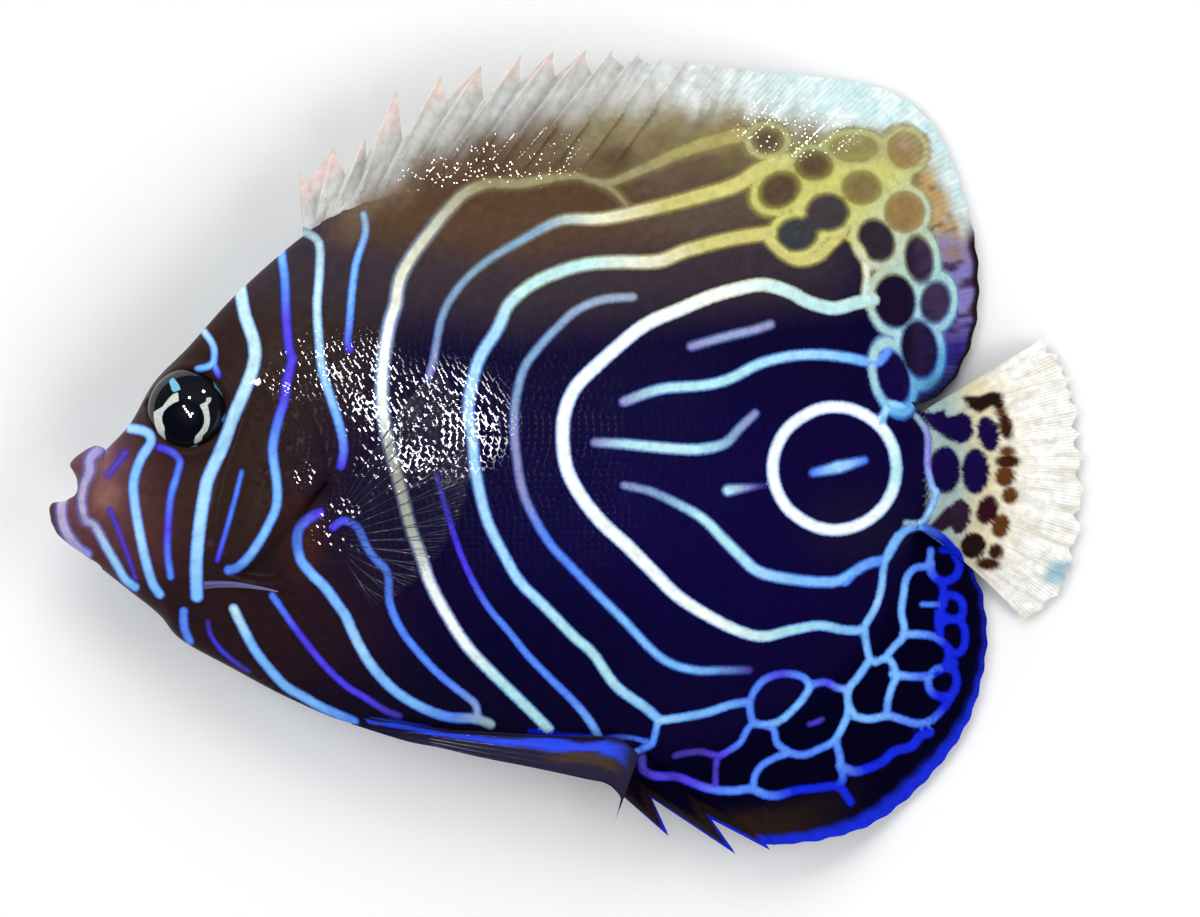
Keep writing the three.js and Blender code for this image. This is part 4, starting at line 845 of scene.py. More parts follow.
def groundAt(points, part, out):
    x, y = points[:, 0], points[:, 1]
    isDorsal, isAnal, isTail = [part == partOf[fin] for fin in ("dorsal", "anal", "tail")]
    high = y - 0.1 * np.abs(x + 5)
    over = y - np.interp(x, clearEdge[:, 0], clearEdge[:, 1])
    wander = 0.5 * np.sin(0.9 * x + 0.4 * y) + 0.35 * np.sin(2.1 * x - 1.3 * y + 1)
    ground = layered(plain(points, (12, 6, 44)), [
        # patches of ground colour, and the painted highlights on the snout
        *[(colour, softOval(points, place, strength, fades["patch"])) for *place, colour, strength in patchesAndHighlights],
        # the back turns from navy to brown and olive
        ((56, 46, 54), smooth(high, 9, 17) * smooth(-x, -36, -24)),
        ((84, 62, 46), smooth(high, 17, 23) * smooth(-x, -30, -10) * smooth(x, -27, -18)),
        ((86, 72, 62), smooth(high, 18, 23) * smooth(x, 2, 14)),
        ((142, 130, 96), smooth(over + wander, -9, -3) * smooth(-x, -36, -30) * smooth(x, -10, 4) * 0.9),
        ((116, 96, 78), smooth(over + wander, -6, -1.5) * smooth(-x, -4, 8) * smooth(x, -27, -20) * 0.8),
        *[(colour, softOval(points, place, strength, fades["blot"])) for *place, colour, strength in blots],
    ])
    # back fin: its rear, its clear part, and the veins in that along spines and rays
    rear = isDorsal * smooth(x, 35.2, 37.6)
    fan = fanStreaks(points, (8, 2), 46)
    clear = isDorsal * smooth(over + 0.8 * wander, -3.4, 1.8)
    lean = 0.88 * x - 0.47 * y
    vein = 0.5 + 0.5 * np.sin(5.3 * lean + 2 * np.sin(2.1 * lean + 1) + 0.6 * np.sin(0.42 * x + 0.8 * y))
    ground = layered(ground, [
        ((184, 152, 96), rear * smooth(y, 19, 23) * smooth(-y, -36, -32)),
        ((168, 166, 168), rear * smooth(y, 19, 23) * smooth(-y, -28, -25) * fan * 0.7),
        ((104, 66, 26), rear * smooth(y, 20, 24) * smooth(-y, -33, -29) * smooth(fan, 0.62, 0.9) * 0.8),
        ((128, 120, 184), rear * smooth(-y, -23.5, -20.5)),
        ((150, 122, 96), rear * softOval(points, (40.2, 20.6, 1.4, 0.9)) * 0.9),
        ((150, 122, 96), rear * softOval(points, (39.6, 12.6, 1.2, 0.8)) * 0.8),
        ((58, 34, 56), rear * smooth(-y, -22, -19) * smooth(fan, 0.42, 0.8) * 0.9),
        ((38, 30, 130), rear * smooth(-y, -15, -11) * 0.8),
        ((36, 18, 22), isDorsal * smooth(out, 0.915, 0.965) * smooth(x, 36, 39) * smooth(-y, -27, -23)),
        ((204, 206, 204), clear),
        ((200, 226, 226), clear * smooth(x, 12, 26) * smooth(-x, -46, -40)),
        ((166, 164, 158), clear * vein * 0.5 * smooth(-x, -14, -6)),
        ((236, 246, 246), clear * smooth(fan, 0.5, 0.9) * 0.7 * smooth(x, 6, 14)),
        ((230, 206, 198), isDorsal * smooth(over, 2.6, 5.4) * smooth(-x, -9, 0) * 0.8),
    ])
    # anal fin, with its blue rim
    edge = mix(0.965, 0.925, smooth(-y, 24, 36))
    onEdge = isAnal * smooth(out, edge - 0.02, edge + 0.02)
    ground = layered(ground, [
        ((4, 2, 26), isAnal * smooth(out, 0.05, 0.3)),
        ((36, 25, 20), isAnal * smooth(-x, -33, -20) * smooth(out, 0.62, 0.8)),
        ((34, 22, 12), isAnal * smooth(-x, -9, -2) * 0.8),
        ((22, 42, 206), onEdge * smooth(x, 6, 11)),
        ((12, 16, 112), onEdge * smooth(y, -28, -20) * 0.7),
    ])
    # tail fin, from the pale base to the white rim
    fan = fanStreaks(points, (22, -2), 60)
    return layered(ground, [
        ((158, 180, 178), isTail * smooth(out, 0.0, 0.08)),
        ((214, 204, 166), isTail * smooth(out, 0.18, 0.42)),
        ((232, 224, 200), isTail * smooth(out, 0.4, 0.58)),
        ((247, 246, 242), isTail * smooth(out + 0.12 * fan, 0.52, 0.8)),
        ((216, 206, 184), isTail * smooth(out, 0.45, 0.6) * smooth(fan, 0.72, 0.95) * 0.5),
        ((176, 170, 146), isTail * smooth(y - 0.55 * (x - 38), 4.6, 5.4) * smooth(-out, -0.9, -0.5) * 0.8),
        ((120, 176, 196), isTail * smooth(out, 0.84, 0.92) * np.exp(-(((y + 12.6) / 1.2) ** 4)) * 0.8),
    ])

def alongLine(values, share):
    # a value that changes along a line, or the one value it has everywhere
    values = np.atleast_1d(values)
    return np.interp(share, np.linspace(0, 1, len(values)), values)

def lineTints(words):
    found = []
    for word in words.split():
        name, _, times = word.partition("*")
        found += [linear(tints[name])] * int(times or 1)
    return np.array(found)

def lineMarks(points):
    # gap to the pale lines (below nought on them), softness and colour of the nearest
    gap = np.full(len(points), 5.0)
    soft = np.full(len(points), crisp)
    tint = plain(points, tints["sky"])
    for width, words, edge, line in paleLines.values():
        line = np.asarray(line, float)
        box = (points > line.min(0) - lineReach).all(1) & (points < line.max(0) + lineReach).all(1)
        if not box.any():
            continue
        dense = spline(line, np.linspace(0, 1, 5 * (len(line) - 1) + 1))
        away, share = lineGap(points[box], dense)
        here = away - alongLine(width, share) / 2
        near = here < gap[box]
        at = np.flatnonzero(box)[near]
        colour = np.stack([alongLine(stops, share) for stops in lineTints(words).T], -1)
        gap[at], soft[at], tint[at] = here[near], alongLine(edge, share)[near], colour[near]
    return gap, soft, tint

def paintAt(points, part, out):
    # the markings of skin and scales: lines over the ground, the net and the dark spots
    x, y = points[:, 0], points[:, 1]
    gap, soft, tint = lineMarks(points)
    ground = groundAt(points, part, out)
    isBack = (x > 17) & (y > 3)
    area = np.full(len(points), 9.0)
    spots, colour, edge = spotGap(points, dorsalNet)
    area[isBack] = np.minimum(areaGap(points[isBack], dorsalNet["area"]), spots[isBack] - dorsalNet["collar"])
    net = np.maximum(area, -spots)
    netTint = layered(plain(points, dorsalNet["tint"]), [
        ((186, 200, 176), smooth(x - y, 3, 13)), ((176, 178, 132), smooth(y, 28.5, 32) * 0.8),
        ((166, 206, 208), smooth(x - y, 13, 20)), ((104, 176, 224), smooth(x - y, 24, 30)),
    ])
    onNet = (area < 0.4) & (net < gap)
    netSoft = np.maximum(edge, dorsalNet["softest"]) + dorsalNet["softHigh"] * smooth(y, 24, 31)
    gap, soft = np.where(onNet, net, gap), np.where(onNet, netSoft, soft)
    tint[onNet] = netTint[onNet]
    inSpot = (area < 0.2) & (spots < 0.9)
    ground[inSpot] = mix(ground[inSpot], colour[inSpot], 0.9)
    isTail = part == partOf["tail"]
    spots, colour, edge = spotGap(points[isTail], tailSpots)
    ground[isTail] = mix(ground[isTail], colour, (1 - smooth(spots, -edge, edge))[:, None])
    olive = smooth(y, 10, 17) * smooth(x, -17, -9) * smooth(y - x, -26, -16)
    rim = mix(rimTints["blue"], rimTints["olive"], olive[:, None])
    return {"gap": gap, "soft": soft, "tint": tint, "ground": ground, "rim": rim}

# materials
def paint(colour):
    return tuple(float(c) for c in linear(colour))

def node(tree, kind, **settings):
    made = tree.nodes.new(kind)
    for key, value in settings.items():
        setattr(made, key, value)
    return made

def feed(tree, socket, value):
    # a number or a colour is set on the socket, anything else is linked to it
    if isinstance(value, (int, float)):
        socket.default_value = value
    elif isinstance(value, tuple):
        socket.default_value = (*value, 1)
    elif value is not None:
        tree.links.new(value, socket)

def calc(tree, operation, *values):
    made = node(tree, "ShaderNodeMath", operation=operation)
    for socket, value in zip(made.inputs, values):
        feed(tree, socket, value)
    return made.outputs[0]

def mixColour(tree, factor, a, b, blend="MIX"):
    made = node(tree, "ShaderNodeMix", data_type="RGBA", blend_type=blend)
    for number, value in ((0, factor), (6, a), (7, b)):
        feed(tree, made.inputs[number], value)
    return made.outputs[2]

def noise(tree, scale, detail=2.0, stretch=(1, 1, 1), turn=0.0):
    place = node(tree, "ShaderNodeTexCoord")
    mapping = node(tree, "ShaderNodeMapping", vector_type="TEXTURE" if turn else "POINT")
    mapping.inputs["Scale"].default_value = stretch
    mapping.inputs["Rotation"].default_value = (0, 0, -math.radians(turn))
    made = node(tree, "ShaderNodeTexNoise")
    made.inputs["Scale"].default_value = scale
    made.inputs["Detail"].default_value = detail
    feed(tree, mapping.inputs["Vector"], place.outputs["Object"])
    feed(tree, made.inputs["Vector"], mapping.outputs[0])
    return made.outputs[0]

def attribute(tree, name, output="Fac"):
    return node(tree, "ShaderNodeAttribute", attribute_name=name).outputs[output]

def ranged(tree, value, low, high, outLow, outHigh, kind="SMOOTHSTEP"):
    made = node(tree, "ShaderNodeMapRange", interpolation_type=kind)
    for socket, number in zip(made.inputs, (value, low, high, outLow, outHigh)):
        feed(tree, socket, number)
    return made.outputs[0]

def shaded(tree, colour, strength):
    # a colour made darker or lighter all over
    grey = node(tree, "ShaderNodeCombineColor")
    for socket in list(grey.inputs)[:3]:
        feed(tree, socket, strength)
    return mixColour(tree, 1.0, colour, grey.outputs[0], "MULTIPLY")

def newMaterial(name, roughness, coat=0.0, coatRoughness=0.05, **sockets):
    made = bpy.data.materials.new(name)
    made.use_nodes = True
    tree = made.node_tree
    shader = next(n for n in tree.nodes if n.type == "BSDF_PRINCIPLED")
    values = {"Roughness": roughness, "Coat Weight": coat, "Coat Roughness": coatRoughness}
    names = {"specular": "Specular IOR Level", "alpha": "Alpha", "colour": "Base Color"}
    values.update({names[key]: value for key, value in sockets.items()})
    for socket, value in values.items():
        feed(tree, shader.inputs[socket], value)
    return made, tree, shader

def addBump(tree, shader, height, strength, distance):
    bump = node(tree, "ShaderNodeBump")
    for socket, value in (("Strength", strength), ("Distance", distance), ("Height", height)):
        feed(tree, bump.inputs[socket], value)
    feed(tree, shader.inputs["Normal"], bump.outputs[0])

skinLook = {
    "roughness": 0.32, "specular": 0.03, "coat": 0.7, "dryCoat": 0.0, "coatRoughness": 0.04, "wetFrom": (0.05, 0.6),
    "raggedScale": 2600, "ragged": 0.14, "rim": 0.75, "rimFrom": (-0.34, -0.02),
    "mottleScale": 1100, "mottleFrom": (0.3, 0.7), "mottle": (0.84, 1.1),
    "bump": 0.5, "bumpDepth": 0.0001, "bumpScale": 4200, "bumpStretch": (2.4, 1, 1), "bumpTurn": -62,
    "fine": (0.6, 2.2), "rayBump": 0.8, "rayFrom": (0.3, 0.95),
}
scaleLook = {
    **skinLook, "roughness": 0.42, "specular": 0.008, "coat": 0.8, "coatRoughness": 0.035, "bump": 0.8,
    "fine": (0.4, 1.6), "ragged": 0.18,
}

def fishSkin(name, look):
    # the markings come from the point values that paintAt works out
    made, tree, shader = newMaterial(
        name, look["roughness"], look["coat"], look["coatRoughness"], specular=look["specular"])
    ragged = look["ragged"]
    ragged = calc(tree, "MULTIPLY_ADD", noise(tree, look["raggedScale"], 3), ragged, -ragged / 2)
    gap = calc(tree, "ADD", attribute(tree, "lineGap"), ragged)
    pale = ranged(tree, calc(tree, "DIVIDE", gap, attribute(tree, "lineSoft")), -1, 1, 1, 0)
    rim = calc(tree, "MULTIPLY", ranged(tree, gap, *look["rimFrom"], 0, 1), look["rim"])
    lineTint, rimTint = attribute(tree, "lineTint", "Color"), attribute(tree, "rimTint", "Color")
    lineColour = mixColour(tree, rim, lineTint, rimTint, "MULTIPLY")
    colour = mixColour(tree, pale, attribute(tree, "ground", "Color"), lineColour)
    mottle = ranged(tree, noise(tree, look["mottleScale"], 4), *look["mottleFrom"], *look["mottle"], "LINEAR")
    feed(tree, shader.inputs["Base Color"], shaded(tree, colour, mottle))
    ruffle = attribute(tree, "ruffle")
    wet = ranged(tree, ruffle, *look["wetFrom"], look["dryCoat"], look["coat"])
    feed(tree, shader.inputs["Coat Weight"], wet)
    rays = calc(tree, "SINE", calc(tree, "MULTIPLY", attribute(tree, "rayPlace"), 2 * math.pi))
    outward = ranged(tree, attribute(tree, "finOut"), *look["rayFrom"], 0, 1)
    fine = noise(tree, look["bumpScale"], 3, look["bumpStretch"], look["bumpTurn"])
    fine = calc(tree, "MULTIPLY", fine, ranged(tree, ruffle, 0, 1, *look["fine"], "LINEAR"))
    height = calc(tree, "MULTIPLY_ADD", calc(tree, "MULTIPLY", rays, outward), look["rayBump"], fine)
    addBump(tree, shader, height, look["bump"], look["bumpDepth"])
    return made

# the skin, one closed mesh with its median fins
def paintMesh(mesh, xy, part, out, rays):
    marks = paintAt(xy, part, out)
    setValues(mesh, "lineGap", marks["gap"])
    setValues(mesh, "lineSoft", marks["soft"])
    setColours(mesh, "lineTint", marks["tint"])
    setColours(mesh, "ground", marks["ground"])
    setColours(mesh, "rimTint", marks["rim"])
    setValues(mesh, "ruffle", ruffleAt(xy))
    setValues(mesh, "finOut", out)
    setValues(mesh, "rayPlace", rays)

vertices, faces, source = skinMesh()
mesh = makeMesh("skin", vertices, faces)
paintMesh(mesh, flat[source], partAt[source], outAt[source], rayAt[source])
mesh.set_sharp_from_angle(angle=math.radians(55))
mesh.materials.append(fishSkin("wetSkin", skinLook))
skin = makeObject("skin", mesh)
print("skin made,", triangles(mesh), "triangles")

# scales, in rows that follow the body and then the rays of the fins
scaleSet = {
    "rows": 104, "smallest": 0.36, "step": 1.14, "overlap": 1.42, "finSpacing": 0.52, "finOverlap": 1.45,
    "finLimits": {1: 0.74, 2: 0.72, 3: 0.3}, "frontLimit": 0.4,
    "bareFrom": (-30.5, -25.0), "bareWander": 1.6, "eyeRoom": 0.45, "nostrilRoom": 0.25,
    "spread": 0.09, "wobble": (0.17, 0.14, 0.2), "calm": 0.3, "seed": 11, "patch": 0.003, "pressed": 0.4,
}

def sampleGrid(grid, first, second):
    # values between the points of a grid
    i = np.clip(np.floor(first).astype(int), 0, grid.shape[0] - 2)
    k = np.clip(np.floor(second).astype(int), 0, grid.shape[1] - 2)
    a, b = (first - i)[:, None], (second - k)[:, None]
    low = mix(grid[i, k], grid[i + 1, k], a)
    return mix(low, mix(grid[i, k + 1], grid[i + 1, k + 1], a), b)

def sideGrids(side):
    # for each grid of the net: place, normal, direction along and across, and the other values
    made = []
    for grid in netGrids:
        place = np.column_stack([flat, leftHeight if side > 0 else rightHeight])[grid]
        down, over = np.gradient(place, axis=0), np.gradient(place, axis=1)
        normal = unit(np.cross(down, over))
        normal *= np.sign(normal[..., 2:] * side + 1e-12)
        made.append((place, normal, down, over, fields[grid]))
    return made

def bodyRows(place, over):
    found = []
    edge = np.linspace(0, body["ring"], scaleSet["rows"] + 3)[1:-1]
    steps = np.arange(place.shape[0], dtype=float)
    for row, k in enumerate(edge):
        here = np.full(len(steps), k)
        run = lengths(sampleGrid(place, steps, here))
        high = np.linalg.norm(sampleGrid(over, steps, here), axis=1) * (edge[1] - edge[0])
        way = 0.5 * high[0] * (row % 2)
        while way < run[-1]:
            i = np.interp(way, run, steps)
            size = np.interp(i, steps, high)
            # where the rows draw together, only every second or fourth goes on
            level = 1
            while size * level < scaleSet["smallest"]:
                level *= 2
            if row % level == 0:
                shift = 0.25 if level > 1 and (row // level) % 2 else 0
                found.append((i + shift, k, size * level))
            way += scaleSet["step"] * size * level
    return np.array(found)

def finRows(place, part):
    found = []
    columns, steps = [np.arange(size, dtype=float) for size in place.shape[:2]]
    rootRun, spacing = lengths(place[:, 6]), scaleSet["finSpacing"]
    for row, way in enumerate(np.arange(0.25, rootRun[-1] - 0.2, spacing)):
        c = np.interp(way, rootRun, columns)
        run = lengths(sampleGrid(place, np.full(len(steps), c), steps))
        start = 0.3 * (1 - row % 2)
        t = np.interp(np.arange(start, run[-1], spacing * 1.1), run, steps) / (len(steps) - 1)
        limit = scaleSet["finLimits"][part]
        if part == partOf["dorsal"]:
            limit = mix(scaleSet["frontLimit"], limit, smooth(place[int(c), 0, 0], -10, 12))
        for share in t[t < limit]:
            found.append((c, share * (len(steps) - 1), spacing * mix(1.15, 0.8, share / limit)))
    return np.array(found)

def scalePoints(side):
    # in each row: place, normal, facing, size, place on the unwrapped skin, way out, part
    kept = []
    for number, grid in enumerate(sideGrids(side)[:4]):
        isBody, part = number == 0, int(grid[4][0, -1, 4])
        found = bodyRows(grid[0], grid[3]) if isBody else finRows(grid[0], part)
        place, normal, down, over, values = [sampleGrid(g, found[:, 0], found[:, 1]) for g in grid]
        facing = down if isBody else over
        facing = unit(facing - normal * (facing * normal).sum(1, keepdims=True))
        if isBody:
            facing *= np.sign(facing[:, :1])
        size = found[:, 2] * scaleSet["overlap" if isBody else "finOverlap"]
        part = np.full(len(found), part)
        kept.append(np.column_stack([place, normal, facing, size, values[:, 7:9], values[:, 5], part]))
    points = np.concatenate(kept)
    xy = points[:, :2]
    holes = [(*head["eye"], head["lidRadius"] + scaleSet["eyeRoom"])]
    holes += [(x, y, radius + scaleSet["nostrilRoom"]) for x, y, radius in head["nostrils"]]
    keep = np.all([np.linalg.norm(xy - np.array([x, y]), axis=1) > radius for x, y, radius in holes], axis=0)
    # the snout, cheek and brow are bare
    draw = np.random.default_rng(scaleSet["seed"])
    bare = mix(*scaleSet["bareFrom"], smooth(xy[:, 1], 4, 20))
    keep &= points[:, 0] > bare + scaleSet["bareWander"] * draw.standard_normal(len(xy))
    near = xy[:, 0] < -20
    keep[near] &= areaGap(xy[near], slitShape) > -0.1
    if side < 0:
        keep &= points[:, 2] > scaleSet["pressed"]
    return points[keep]

def scaleShape():
    # one scale, its root to the left and its rounded rear edge to the right
    rim = [(-0.1, -0.5), (0.28, -0.42), (0.5, -0.2), (0.56, 0.0), (0.5, 0.2), (0.28, 0.42), (-0.1, 0.5)]
    rise = [-0.015, 0.024, 0.04, 0.045, 0.04, 0.024, -0.015]
    edge = [(x, y, z) for (x, y), z in zip(rim, rise)]
    low = [(x * 0.98, y * 0.98, -0.1) for x, y in rim]
    top = [(0.02, 0.0, 0.055), (-0.5, 0.26, -0.07), (-0.5, -0.26, -0.07), *edge]
    ringOf = list(range(1, len(top)))
    faces = [(0, a, b) for a, b in zip(ringOf, ringOf[1:] + ringOf[:1])]
    # the wall has points of its own, so that the top keeps its own normals
    start, under = len(top), len(top) + len(rim)
    for i in range(len(rim) - 1):
        faces.append((start + i, under + i, under + i + 1, start + i + 1))
    mesh = makeMesh("scaleShape", top + edge + low, faces, scale=1)
    smoothFaces(mesh, 3)
    setValues(mesh, "petal", [(v.co.x, v.co.y, 0) for v in mesh.vertices], "FLOAT_VECTOR")
    return makeObject("scaleShape", mesh)

# Geometry Nodes: a tree with named inputs, its last steps, and running it on a carrier
def newTree(name, inputs):
    tree = bpy.data.node_groups.new(name, "GeometryNodeTree")
    for title, kind in {"Geometry": "Geometry", **inputs, "Material": "Material"}.items():
        tree.interface.new_socket(title, in_out="INPUT", socket_type="NodeSocket" + kind)
    tree.interface.new_socket("Geometry", in_out="OUTPUT", socket_type="NodeSocketGeometry")
    return tree, tree.nodes.new("NodeGroupInput").outputs

def chain(tree, kind, inputs, **settings):
    # a node with its inputs fed by name or number, and its first output
    made = node(tree, kind, **settings)
    for key, value in inputs.items():
        feed(tree, made.inputs[key], value)
    return made.outputs[0]

def named(tree, name, kind="FLOAT"):
    made = node(tree, "GeometryNodeInputNamedAttribute", data_type=kind)
    made.inputs["Name"].default_value = name
    return made.outputs["Attribute"]

def endTree(tree, geometry, start):
    real = chain(tree, "GeometryNodeRealizeInstances", {0: geometry})
    painted = chain(tree, "GeometryNodeSetMaterial", {"Geometry": real, "Material": start["Material"]})
    feed(tree, tree.nodes.new("NodeGroupOutput").inputs[0], painted)
    return tree

def runTree(name, carrier, tree, values):
    modifier = carrier.modifiers.new(tree.name, "NODES")
    modifier.node_group = tree
    for item in tree.interface.items_tree:
        if item.in_out == "INPUT" and item.name in values:
            modifier[item.identifier] = values[item.name]
    bpy.context.view_layer.update()
    ready = carrier.evaluated_get(bpy.context.evaluated_depsgraph_get())
    mesh = bpy.data.meshes.new_from_object(ready)
    mesh.name = name
    carrier.modifiers.remove(modifier)
    bpy.data.objects.remove(carrier)
    return mesh

def makeScaleTree():
    tree, start = newTree("scaleRows", {
        "Scale Shape": "Object", "Spread": "Float", "Wobble": "Vector", "Seed": "Int",
    })
    shapeInfo = node(tree, "GeometryNodeObjectInfo")
    feed(tree, shapeInfo.inputs["Object"], start["Scale Shape"])
    outward, facing = [named(tree, name, "FLOAT_VECTOR") for name in ("outward", "facing")]
    axes = chain(tree, "FunctionNodeAxesToRotation", {0: outward, 1: facing}, primary_axis="Z", secondary_axis="X")
    loose = {0: start["Wobble"], "Scale": named(tree, "loose")}
    most = chain(tree, "ShaderNodeVectorMath", loose, operation="SCALE")
    least = chain(tree, "ShaderNodeVectorMath", {0: most, "Scale": -1}, operation="SCALE")
    lean = {0: least, 1: most, "Seed": start["Seed"]}
    lean = chain(tree, "FunctionNodeRandomValue", lean, data_type="FLOAT_VECTOR")
    euler = chain(tree, "FunctionNodeEulerToRotation", {0: lean})
    turned = chain(tree, "FunctionNodeRotateRotation", {0: axes, 1: euler}, rotation_space="LOCAL")
    vary = node(tree, "FunctionNodeRandomValue", data_type="FLOAT")
    feed(tree, vary.inputs[2], calc(tree, "SUBTRACT", 1.0, start["Spread"]))
    feed(tree, vary.inputs[3], calc(tree, "ADD", start["Spread"], 1.0))
    feed(tree, vary.inputs["Seed"], start["Seed"])
    size = calc(tree, "MULTIPLY", named(tree, "size"), vary.outputs[1])
    whole = chain(tree, "ShaderNodeCombineXYZ", {0: size, 1: size, 2: size})
    put = {
        "Points": start["Geometry"], "Instance": shapeInfo.outputs["Geometry"], "Rotation": turned, "Scale": whole,
    }
    return endTree(tree, chain(tree, "GeometryNodeInstanceOnPoints", put), start)

def makeScales(name, points, shapeOfScale):
    carrierMesh = makeMesh(name + "Roots", points[:, :3], [])
    for title, columns in (("outward", [3, 4, 5]), ("facing", [6, 7, 8]), ("rootPlace", [10, 11, 12])):
        setValues(carrierMesh, title, points[:, columns], "FLOAT_VECTOR")
    setValues(carrierMesh, "size", points[:, 9] * mm)
    setValues(carrierMesh, "part", points[:, 13])
    setValues(carrierMesh, "loose", mix(scaleSet["calm"], 1, ruffleAt(points[:, :2])))
    mesh = runTree(name, makeObject(name + "Roots", carrierMesh), scaleTree, {
        "Scale Shape": shapeOfScale, "Spread": scaleSet["spread"], "Wobble": scaleSet["wobble"],
        "Seed": scaleSet["seed"], "Material": scaleMaterial,
    })
    # the lowest scales are pressed flat on the floor
    placed = np.zeros(len(mesh.vertices) * 3, np.float32)
    mesh.vertices.foreach_get("co", placed)
    placed[2::3] = np.maximum(placed[2::3], body["floorSpace"] * mm / 2)
    mesh.vertices.foreach_set("co", placed)
    xy = placed.reshape(-1, 3)[:, :2] * 1000  # in millimetres
    root, petal, part = [getValues(mesh, title) for title in ("rootPlace", "petal", "part")]
    paintMesh(mesh, xy, np.round(part), root[:, 2], np.zeros(len(xy)))
    corners = np.zeros(len(mesh.loops), np.int32)
    mesh.loops.foreach_get("vertex_index", corners)
    uv = root[:, :2] + petal[:, :2] * scaleSet["patch"]
    mesh.uv_layers.new(name="OFBake").data.foreach_set("uv", uv[corners].astype(np.float32).ravel())
    for old in ("rootPlace", "petal", "part", "size", "loose", "outward", "facing"):
        if old in mesh.attributes:
            mesh.attributes.remove(mesh.attributes[old])
    print(name, "made,", len(points), "scales,", triangles(mesh), "triangles")
    return makeObject(name, mesh)

scaleMaterial = fishSkin("wetScales", scaleLook)
scaleTree, shapeOfScale = makeScaleTree(), scaleShape()
scalePieces = []
for side, word in ((1, "Left"), (-1, "Right")):
    points = scalePoints(side)
    isFront = points[:, 0] < np.median(points[:, 0])
    for end, isHere in (("Front", isFront), ("Rear", ~isFront)):
        scalePieces.append(makeScales("scales" + word + end, points[isHere], shapeOfScale))
bpy.data.objects.remove(shapeOfScale)

# helpers for the smaller pieces
flatTree = kdtree.KDTree(len(flat))
for number, (x, y) in enumerate(flat.tolist()):
    flatTree.insert((x, y, 0), number)
flatTree.balance()

def nearby(points, values):
    # values of the side view's points at other places
    found = []
    for x, y in np.asarray(points, float).reshape(-1, 2).tolist():
        near = flatTree.find_n((x, y, 0), 3)
        weights = [1 / (distance + 0.02) ** 2 for _, _, distance in near]
        found.append(sum(w * values[i] for w, (_, i, _) in zip(weights, near)) / sum(weights))
    return np.array(found).reshape(np.shape(points)[:-1])

def tube(line, radii, sides):
    # closed roll along a line, with round ends
    forward = unit(np.gradient(line, axis=0))
    vertices, faces = [], []
    angles = np.linspace(0, 2 * math.pi, sides, endpoint=False)
    for point, ahead, radius in zip(line, forward, radii):
        across = unit(np.cross((0.0, 0.0, 1.0), ahead))
        over = np.cross(ahead, across)
        vertices += [point + radius * (math.cos(angle) * across + math.sin(angle) * over) for angle in angles]
    rows = len(line)
    for i in range(rows - 1):
        for k in range(sides):
            a, b = i * sides + k, i * sides + (k + 1) % sides
            faces.append((a, b, b + sides, a + sides))
    first, last = len(vertices), len(vertices) + 1
    vertices += [line[0] - forward[0] * radii[0] * 0.5, line[-1] + forward[-1] * radii[-1] * 0.5]
    for k in range(sides):
        faces.append((first, (k + 1) % sides, k))
        faces.append((last, (rows - 1) * sides + k, (rows - 1) * sides + (k + 1) % sides))
    return np.array(vertices), faces

def sheet(xy, top, low):
    # closed body between two heights over a net of points (columns x rows)
    columns, rows = top.shape
    ids = np.arange(columns * rows).reshape(columns, rows)
    places, start = xy.reshape(-1, 2), columns * rows
    q = quadsOf(ids, places)
    edge = [*ids[0, :-1], *ids[:-1, -1], *ids[-1, :0:-1], *ids[:0:-1, 0]]
    if q[0, 0] != ids[0, 0]:
        edge = edge[::-1]
    wall = [(int(b), int(a), int(a) + start, int(b) + start) for a, b in zip(edge, edge[1:] + edge[:1])]
    vertices = np.concatenate([np.column_stack([places, height.ravel()]) for height in (top, low)])
    return vertices, q.tolist() + (q[:, ::-1] + start).tolist() + wall

def joined(parts):
    vertices, faces, start = [], [], 0
    for some, their in parts:
        vertices.append(some)
        faces += [tuple(int(i) + start for i in face) for face in their]
        start += len(some)
    return np.concatenate(vertices), faces

def makePiece(name, vertices, faces, material, **values):
    mesh = makeMesh(name, vertices, faces)
    facesOut(mesh)
    for title, numbers in values.items():
        setValues(mesh, title, numbers)
    mesh.materials.append(material)
    return makeObject(name, mesh)

